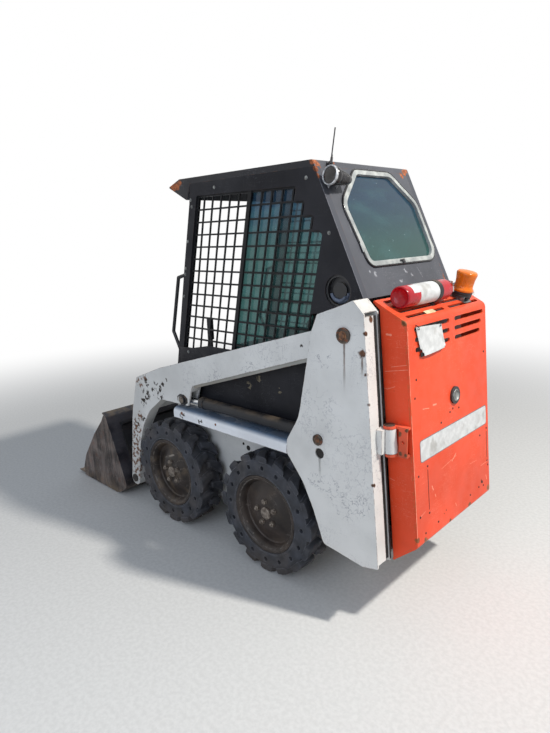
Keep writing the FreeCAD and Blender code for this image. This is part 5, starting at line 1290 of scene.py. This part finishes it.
class LOADER_OT_beacon(bpy.types.Operator):
    """Set the ribbed amber dome on its black base and bracket"""
    bl_idname = "loader.beacon"
    bl_label = "Beacon"

    def execute(self, context):
        rise = (BEACON_FOOT[0] - DOOR_BEND[0]) / (at(*DOOR_TOP_FRONT[:1], 0.0, 0.0) - at(DOOR_BEND[0], 0.0, 0.0)).x
        run = Vector((DOOR_TOP_FRONT[0] - DOOR_BEND[0], 0.0, DOOR_TOP_FRONT[1] - DOOR_BEND[1]))
        foot = on_top(rise * mm(1.0) * run.length, BEACON_FOOT[1])
        along = run.normalized()
        bracket = Shape()
        bracket.box(foot + TOP_OUT * 0.0018, (along, ACROSS, TOP_OUT), (0.078, 0.062, 0.003))
        for side in (-1.0, 1.0):
            wing = [foot + along * -0.030 + TOP_OUT * 0.003, foot + along * 0.030 + TOP_OUT * 0.003,
                    foot + along * 0.030 + TOP_OUT * 0.008, foot + along * -0.026 + TOP_OUT * 0.022]
            bracket.slab([point + ACROSS * (side * 0.028) for point in wing], ACROSS * (side * 0.0025))
        piece("beacon_bracket", bracket.close("beacon_bracket"), "rear_door", "dull_zinc", 0.0006)
        base = Shape()
        base.lathe(foot, BEACON_UP, [(0.0, 0.012), (0.0395, 0.012), (0.0420, 0.015), (0.0405, 0.020), (0.0405, 0.023),
                                     (0.0425, 0.025), (0.0425, 0.031), (0.0395, 0.0335), (0.0, 0.0340)],
                   steps=64, caps=False)
        piece("beacon_foot", base.close("beacon_foot", 30.0), "rear_door", "moulded_plastic", 0.0008,
              stands_for=("beacon_base",))
        dome = Shape()
        first, second = around(BEACON_UP)
        dome.skin([[foot + BEACON_UP * mm(height)
                    + (first * math.cos(a) + second * math.sin(a)) * mm(radius + rib * math.cos(a * 36.0))
                    for a in (2.0 * math.pi * k / 216 for k in range(216))]
                   for radius, height, rib in DOME_SECTION])
        piece("beacon_lens", dome.close("beacon_lens", 60.0), "rear_door", "ribbed_amber",
              stands_for=("beacon_dome",))
        return {"FINISHED"}


# Cab trim


SLOPE_TOP = (-253.0, 1815.0)
SLOPE_DOWN = Vector((-236.0, 0.0, -518.0)).normalized()
SLOPE_OUT = Vector((SLOPE_DOWN.z, 0.0, -SLOPE_DOWN.x))


def on_slope(y, down, out):
    """Point off the cab's rear slope, by its distance down from the roof's edge."""
    return at(SLOPE_TOP[0], y, SLOPE_TOP[1]) + SLOPE_DOWN * mm(down) + SLOPE_OUT * mm(out)


CAB_SIDE_Y = 341.0
CAB_BOLTS = [
    # x and z of bolt heads on the cab's sides
    (-221, 1751), (-330, 1542), (324, 1760), (500, 1716), (495, 1685), (545, 1526), (576, 1395), (583, 1366),
    (606, 1256), (600, 970),
]
SILL = [(672, 878), (672, 990), (570, 993), (500, 1006), (440, 1018), (120, 1020)]
LAMP_LENS = (332.0, 88.0, 42.0)
LAMP_BACK = (216.0, 104.0, 40.0)
LAMP_SECTION = [
    # radius and distance back from the lens
    (31.0, 5.0), (32.0, 0.6), (33.5, -0.6), (36.0, 0.0), (37.0, 3.0), (37.0, 9.0), (35.4, 11.5), (34.4, 13.0),
    (35.6, 17.0), (36.4, 24.0), (35.4, 33.0), (31.0, 41.0), (27.0, 45.0), (27.0, 48.0), (29.4, 49.0), (29.2, 54.0),
    (26.2, 55.0), (26.2, 58.0), (28.2, 59.0), (27.8, 64.0), (25.0, 65.0), (25.0, 68.0), (26.8, 69.0), (26.4, 74.0),
    (23.6, 75.0), (23.6, 78.0), (25.2, 79.0), (24.8, 84.0), (22.0, 85.0), (22.0, 88.0), (23.6, 89.0), (23.2, 94.0),
    (19.4, 96.0), (18.0, 112.0), (15.0, 116.0), (0.0, 117.0),
]


class LOADER_OT_lamp(bpy.types.Operator):
    """Build the round work lamp: bezel, reflector, lens, ribbed housing and its foot"""
    bl_idname = "loader.lamp"
    bl_label = "Work lamp"

    def execute(self, context):
        lens = on_slope(*LAMP_LENS)
        back = (on_slope(*LAMP_BACK) - lens).normalized()
        housing = Shape()
        housing.lathe(lens, back, [(mm(r), mm(t)) for r, t in LAMP_SECTION[7:]], steps=64)
        housing.box(on_slope(286.0, 84.0, 3.2), (ACROSS, SLOPE_DOWN, SLOPE_OUT), (0.056, 0.042, 0.0056))
        piece("lamp_housing", housing.close("lamp_housing", 34.0), "cab", "black_rubber", 0.0005,
              stands_for=("work_lamp",))
        stand = Shape()
        for y in (262.0, 312.0):
            feet = [on_slope(y, 74.0, 5.0), on_slope(y, 122.0, 5.0), on_slope(y, 112.0, 22.0), on_slope(y, 96.0, 44.0),
                    on_slope(y, 84.0, 44.0)]
            stand.slab(feet, ACROSS * 0.003)
        piece("lamp_stand", stand.close("lamp_stand"), "cab", "pale_bezel", 0.0006)
        bezel = Shape()
        bezel.lathe(lens, back, [(mm(r), mm(t)) for r, t in LAMP_SECTION[:8]] + [(0.030, 0.013), (0.030, 0.008)],
                    steps=64, caps=False, loop=True)
        piece("lamp_bezel", bezel.close("lamp_bezel", 50.0), "cab", "pale_bezel")
        bowl = Shape()
        bowl.lathe(lens, back, [(0.0308, 0.0035), (0.0290, 0.007), (0.022, 0.0105), (0.011, 0.0125), (0.0, 0.013)],
                   steps=64, caps=False)
        bowl.lathe(lens, back, [(0.0, 0.004), (0.004, 0.005), (0.0055, 0.008), (0.0055, 0.0125)], steps=20, caps=False)
        piece("lamp_reflector", bowl.close("lamp_reflector", 60.0), "cab", "smoked_bowl")
        glass = Shape()
        glass.lathe(lens, back, [(0.0, -0.0014), (0.014, -0.0008), (0.026, 0.0010), (0.0312, 0.0030), (0.0312, 0.0044),
                                 (0.026, 0.0026), (0.014, 0.0010), (0.0, 0.0004)], steps=64, caps=False)
        piece("lamp_glass", glass.close("lamp_glass", 50.0), "cab", "lamp_glass")
        return {"FINISHED"}


WINDOW = [
    # y, distance down the slope and corner radius of the seal's outer edge
    (99, 29, 50), (264, 177, 90), (230, 449, 45), (-307, 449, 75), (-306, 170, 70), (-165, 29, 60),
]


class LOADER_OT_cab_trim(bpy.types.Operator):
    """Add the cab's bolts, sills, hoses, window latch and aerial ferrule"""
    bl_idname = "loader.cab_trim"
    bl_label = "Cab trim"

    def execute(self, context):
        bolts, sills, hoses = Shape(), Shape(), Shape()
        x, z = -369.0, 1323.0
        for side in (-1.0, 1.0):
            out = ACROSS * side
            for i, spot in enumerate(CAB_BOLTS):
                lift = 3.2 if spot[1] < 1000 else 0.1
                bolt_head(bolts, at(spot[0], side * (CAB_SIDE_Y + lift), spot[1]), out, 0.0056, 0.0040, 0.4 * i)
            sills.slab([at(px, side * (CAB_SIDE_Y + 0.3), pz) for px, pz in SILL], out * 0.0026)
            for radius, y, first, last in ((43.0, 325.0, 190.0, 345.0), (38.0, 331.0, 215.0, 300.0)):
                turns = [math.radians(first + (last - first) * k / 16.0) for k in range(17)]
                hoses.tube([at(x + radius * math.cos(a), side * y, z + radius * math.sin(a)) for a in turns], 0.0075)
        piece("cab_bolts", bolts.close("cab_bolts", 34.0), "cab", "dull_zinc")
        piece("cab_sills", sills.close("cab_sills"), "cab", "sooty_shell", 0.0008)
        piece("vent_hoses", hoses.close("vent_hoses", 60.0), "cab", "blue_hose")
        latch = Shape()
        latch.box(on_slope(-11.0, 441.0, 9.0), (ACROSS, SLOPE_DOWN, SLOPE_OUT), (0.016, 0.020, 0.006))
        latch.box(on_slope(-2.0, 436.0, 11.0), (ACROSS, SLOPE_DOWN, SLOPE_OUT), (0.030, 0.007, 0.003))
        piece("window_latch", latch.close("window_latch"), "cab", "moulded_plastic", 0.0012)
        # Black rubber cord round the seal, which also stands for the seal's shadow on the slope: partly painted shadow
        cord = Shape()
        edge = rounded_outline(WINDOW, 0.0, lambda y, down: on_slope(y, down, 3.4), 8)
        cord.tube(edge + edge[:1], 0.0042, sides=10)
        piece("seal_cord_and_shadow", cord.close("seal_cord_and_shadow", 60.0), "cab", "black_rubber")
        tab = Shape()
        outline = [on_slope(246.0 - 15.0 * math.sin(a), 368.0 + 19.0 * math.cos(a), 6.4)
                   for a in (math.pi * k / 12.0 for k in range(13))]
        tab.slab(outline, SLOPE_OUT * 0.002)
        piece("seal_tab", tab.close("seal_tab"), "cab", "grey_seal", 0.0006)
        ferrule = Shape()
        foot = on_slope(256.0, 22.0, 16.0)
        lean = Vector((-3.0, -24.0, 132.0)).normalized()
        ferrule.lathe(foot, lean, [(0.0, -0.001), (0.0072, -0.001), (0.0072, 0.006), (0.0052, 0.008), (0.0052, 0.022),
                                   (0.0036, 0.026), (0.0036, 0.034), (0.0, 0.0345)], steps=24, caps=False)
        piece("aerial_ferrule", ferrule.close("aerial_ferrule"), "cab", "black_rubber")
        return {"FINISHED"}


# Frame trim


# Dark discs of painted shade where the chain case has holes, and one in the tie hole
CASE_HOLES = [((311.0, 507.0), 7.5), ((276.0, 492.0), 13.5)]
KNEE_BOLT = (568.0, 738.0)
TIE_HOLE = (-346.0, 683.0)
# Dark strips of painted shade inside the uprights' flanges and along their inner plates' rear edges
UPRIGHT_SHADE = [(-552.0, 357.0, 1246.0), (-552.0, 383.6, 1246.0), (-619.0, 383.6, 290.0), (-619.0, 357.0, 290.0)]
EDGE_SHADE = [(-559.2, 349.8, 1250.0), (-559.2, 357.2, 1250.0), (-626.4, 357.2, 286.0), (-626.4, 349.8, 286.0)]
ARM_LIP = [(474.0, 829.0), (-284.0, 1069.0), (-284.0, 1049.0), (474.0, 811.0)]


class LOADER_OT_frame_trim(bpy.types.Operator):
    """Add the knee bolts in dark recesses widened by a painted shadow, the pin bolts, dark discs of painted shade in
    the tie hole and the case holes, dark strips of painted shade in the uprights and the grey lips under the arms
    """
    bl_idname = "loader.frame_trim"
    bl_label = "Frame trim"

    def execute(self, context):
        recess_and_shadow, knee, pins, hole_shades, shades, lips = Shape(), Shape(), Shape(), Shape(), Shape(), Shape()
        for side in (-1.0, 1.0):
            out = ACROSS * side
            x, z = KNEE_BOLT
            # Dark octagon, wider than tall: the recess round the knee bolt together with a painted shadow beside it
            rim = [(x + 46.0 * math.cos(a), z + 30.0 * math.sin(a)) for a in (math.pi * (k + 0.5) / 4.0 for k in range(8))]
            recess_and_shadow.slab([at(px, side * 428.2, pz) for px, pz in rim], out * 0.0008)
            recess_and_shadow.lathe(at(x, side * 428.3, z), out, [(0.0215, 0.0), (0.0215, 0.0080), (0.0205, 0.0086), (0.0, 0.0086)],
                         steps=40, caps=False)
            bolt_head(knee, at(x, side * 436.9, z), out, 0.0125, 0.006, 0.3)
            bolt_head(pins, at(-471.0, side * 449.2, 1176.0), out, 0.0125, 0.007, 0.2)
            bolt_head(pins, at(-341.0, side * 449.2, 741.0), out, 0.0085, 0.005, 0.5)
            for (px, pz), radius in CASE_HOLES:
                hole_shades.lathe(at(px, side * 255.1, pz), out, [(mm(radius), 0.0), (mm(radius), 0.0006), (mm(radius) * 0.8, 0.0002),
                                                           (0.0, 0.0002)], steps=28, caps=False)
            hole_shades.lathe(at(TIE_HOLE[0], side * 435.5, TIE_HOLE[1]), out, [(0.0216, 0.0), (0.0216, 0.0006), (0.0, 0.0006)], steps=40, caps=False)
            # Painted shade: dark strips where the uprights' insides lie in shade
            shades.slab([at(px, side * py, pz) for px, py, pz in UPRIGHT_SHADE], Vector((0.003, 0.0, 0.0)))
            shades.slab([at(px, side * py, pz) for px, py, pz in EDGE_SHADE], Vector((-0.001, 0.0, 0.0)))
            lips.slab([at(px, side * 418.0, pz) for px, pz in ARM_LIP], out * 0.003)
        piece("upright_shades", shades.close("upright_shades"), "chassis", "dark_gap")
        piece("arm_lips", lips.close("arm_lips"), "arms", "weathered_lip")
        piece("knee_recess_and_shadow", recess_and_shadow.close("knee_recess_and_shadow", 20.0), "arms", "dirty_black", 0.0004)
        piece("knee_bolts", knee.close("knee_bolts", 34.0), "arms", "worn_nut")
        piece("pin_bolts", pins.close("pin_bolts", 34.0), "chassis", "rusty_steel")
        piece("case_hole_shades", hole_shades.close("case_hole_shades", 60.0), "chassis", "dark_gap")
        return {"FINISHED"}


# Seat


def shrink(mesh, amount):
    """Pulls a closed mesh in along its normals."""
    bm = bmesh.new()
    bm.from_mesh(mesh)
    bmesh.ops.remove_doubles(bm, verts=bm.verts, dist=1e-5)
    low = [min(v.co[i] for v in bm.verts) for i in range(3)]
    high = [max(v.co[i] for v in bm.verts) for i in range(3)]
    middle = Vector([(a + b) / 2.0 for a, b in zip(low, high)])
    span = [b - a for a, b in zip(low, high)]
    for v in bm.verts:
        for i in range(3):
            v.co[i] = middle[i] + (v.co[i] - middle[i]) * (1.0 - 2.0 * amount / span[i])
    bm.to_mesh(mesh)
    bm.free()


def stuffed(node, name, seat):
    """Padded copy of a plain cushion: remeshed, blown up a little and rounded."""
    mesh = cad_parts[node].data.copy()
    shrink(mesh, seat.swell * 0.5)
    pad = bpy.data.objects.new(name, mesh)
    bpy.context.scene.collection.objects.link(pad)
    mesh.materials.clear()
    voxels = pad.modifiers.new("voxels", "REMESH")
    voxels.mode = "VOXEL"
    voxels.voxel_size = 0.006
    settle(pad)
    rest = [v.co.copy() for v in pad.data.vertices]
    cloth = pad.modifiers.new("cloth", "CLOTH")
    cloth.settings.use_pressure = True
    cloth.settings.uniform_pressure_force = seat.pressure
    cloth.settings.effector_weights.gravity = 0.0
    scene = bpy.context.scene
    for step in range(1, 21):
        scene.frame_set(step)
    settle(pad)
    scene.frame_set(1)
    for v, start in zip(pad.data.vertices, rest):
        move = v.co - start
        if move.length > seat.swell:
            v.co = start + move.normalized() * seat.swell
    finer = pad.modifiers.new("finer", "SUBSURF")
    finer.levels = 1
    settle(pad)
    smooth(pad.data, 180.0)
    pad.data.materials.append(finish("creased_vinyl"))
    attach(pad, "cab")
    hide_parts(node)
    return pad


class LOADER_OT_seat(bpy.types.Operator):
    """Stuff the seat cushion and the back rest"""
    bl_idname = "loader.seat"
    bl_label = "Seat"

    def execute(self, context):
        seat = context.scene.loader_looks.seat
        stuffed("seat_cushion", "stuffed_cushion", seat)
        stuffed("seat_back", "stuffed_back", seat)
        return {"FINISHED"}


# Stage


CAMERA_YAW = math.radians(-45.74)
CAMERA_PITCH = math.radians(-13.42)
CAMERA_ROLL = math.radians(-2.10)
LENS_PIXELS = 551.99
PHOTO_HEIGHT = 733.0


def area_light(name, place, target, size, power, colour):
    lamp = bpy.data.lights.new(name, "AREA")
    lamp.shape = "DISK"
    lamp.color = colour
    lamp.size = size
    lamp.energy = power
    thing = bpy.data.objects.new(name, lamp)
    thing.location = place
    thing.rotation_euler = (Vector(target) - Vector(place)).to_track_quat("-Z", "Y").to_euler()
    bpy.context.scene.collection.objects.link(thing)


class LOADER_OT_stage(bpy.types.Operator):
    """Set up the pale floor, the soft lights and the camera"""
    bl_idname = "loader.stage"
    bl_label = "Stage"

    def execute(self, context):
        stage = context.scene.loader_looks.stage
        scene = context.scene
        scene.view_settings.view_transform = "Standard"
        ground = Shape()
        reach = 40.0
        ground.bm.faces.new([ground.bm.verts.new(p) for p in ((-reach, -reach, -0.0005), (reach, -reach, -0.0005),
                                                             (reach, reach, -0.0005), (-reach, reach, -0.0005))])
        floor = bpy.data.objects.new("floor", ground.close("floor"))
        floor.data.materials.append(finish("pale_floor"))
        scene.collection.objects.link(floor)
        area_light("key", (-4.4, -0.9, 5.3), (0.0, 0.0, 0.6), 0.35, stage.key_power, (1.0, 0.97, 0.91))
        area_light("fill", (-1.6, 4.6, 2.6), (0.0, 0.0, 0.7), 3.5, stage.fill_power, (0.74, 0.84, 1.0))
        self.surround(scene, stage.sky)
        self.camera(scene, stage)
        return {"FINISHED"}

    def surround(self, scene, strength):
        """Even light from all round that the camera, gloss and glass see as white."""
        world = bpy.data.worlds.new("surround")
        scene.world = world
        world.use_nodes = True
        tree = world.node_tree
        tree.nodes.clear()
        path = tree.nodes.new("ShaderNodeLightPath")
        joined = None
        for label in ("Is Camera Ray", "Is Glossy Ray", "Is Transmission Ray"):
            if joined is None:
                joined = path.outputs[label]
                continue
            most = tree.nodes.new("ShaderNodeMath")
            most.operation = "MAXIMUM"
            tree.links.new(joined, most.inputs[0])
            tree.links.new(path.outputs[label], most.inputs[1])
            joined = most.outputs[0]
        light = tree.nodes.new("ShaderNodeBackground")
        light.inputs["Color"].default_value = (0.84, 0.91, 1.0, 1.0)
        light.inputs["Strength"].default_value = strength
        seen = tree.nodes.new("ShaderNodeBackground")
        seen.inputs["Color"].default_value = (1.0, 1.0, 1.0, 1.0)
        mix = tree.nodes.new("ShaderNodeMixShader")
        tree.links.new(joined, mix.inputs[0])
        tree.links.new(light.outputs[0], mix.inputs[1])
        tree.links.new(seen.outputs[0], mix.inputs[2])
        output = tree.nodes.new("ShaderNodeOutputWorld")
        tree.links.new(mix.outputs[0], output.inputs["Surface"])

    def camera(self, scene, stage):
        lens = bpy.data.cameras.new("camera")
        lens.sensor_fit = "AUTO"
        lens.sensor_width = 36.0
        lens.lens = LENS_PIXELS / PHOTO_HEIGHT * 36.0
        thing = bpy.data.objects.new("camera", lens)
        ahead = Vector((math.cos(CAMERA_YAW) * math.cos(CAMERA_PITCH),
                        math.sin(CAMERA_YAW) * math.cos(CAMERA_PITCH), math.sin(CAMERA_PITCH)))
        right = ahead.cross(Vector((0.0, 0.0, 1.0))).normalized()
        up = right.cross(ahead)
        level_right = right * math.cos(CAMERA_ROLL) + up * math.sin(CAMERA_ROLL)
        level_up = up * math.cos(CAMERA_ROLL) - right * math.sin(CAMERA_ROLL)
        turn = Matrix((level_right, level_up, -ahead)).transposed().to_4x4()
        thing.matrix_world = Matrix.Translation(Vector(stage.camera_place)) @ turn
        scene.collection.objects.link(thing)
        scene.camera = thing


# Add-on


OPERATORS = (LOADER_OT_stage, LOADER_OT_paint, LOADER_OT_tyres, LOADER_OT_rims, LOADER_OT_door,
             LOADER_OT_extinguisher, LOADER_OT_beacon, LOADER_OT_lamp, LOADER_OT_cab_trim, LOADER_OT_frame_trim,
             LOADER_OT_seat)


class LOADER_PT_looks(bpy.types.Panel):
    """Buttons for each group of pieces"""
    bl_idname = "LOADER_PT_looks"
    bl_label = "Loader"
    bl_space_type = "VIEW_3D"
    bl_region_type = "UI"
    bl_category = "Loader"

    def draw(self, context):
        for operator in OPERATORS:
            self.layout.operator(operator.bl_idname)


CLASSES = (LoaderColours, LoaderTyre, LoaderRim, LoaderDoor, LoaderSeat, LoaderStage, LoaderLooks,
           *OPERATORS, LOADER_PT_looks)


def register():
    for item in CLASSES:
        bpy.utils.register_class(item)
    bpy.types.Scene.loader_looks = PointerProperty(type=LoaderLooks, name="Loader looks",
                                                   description="Sizes and colours of the loader's looks")


def unregister():
    del bpy.types.Scene.loader_looks
    for item in reversed(CLASSES):
        bpy.utils.unregister_class(item)


def main():
    register()
    for operator in OPERATORS:
        group, name = operator.bl_idname.split(".")
        getattr(getattr(bpy.ops, group), name)()


if __name__ == "__main__":
    main()
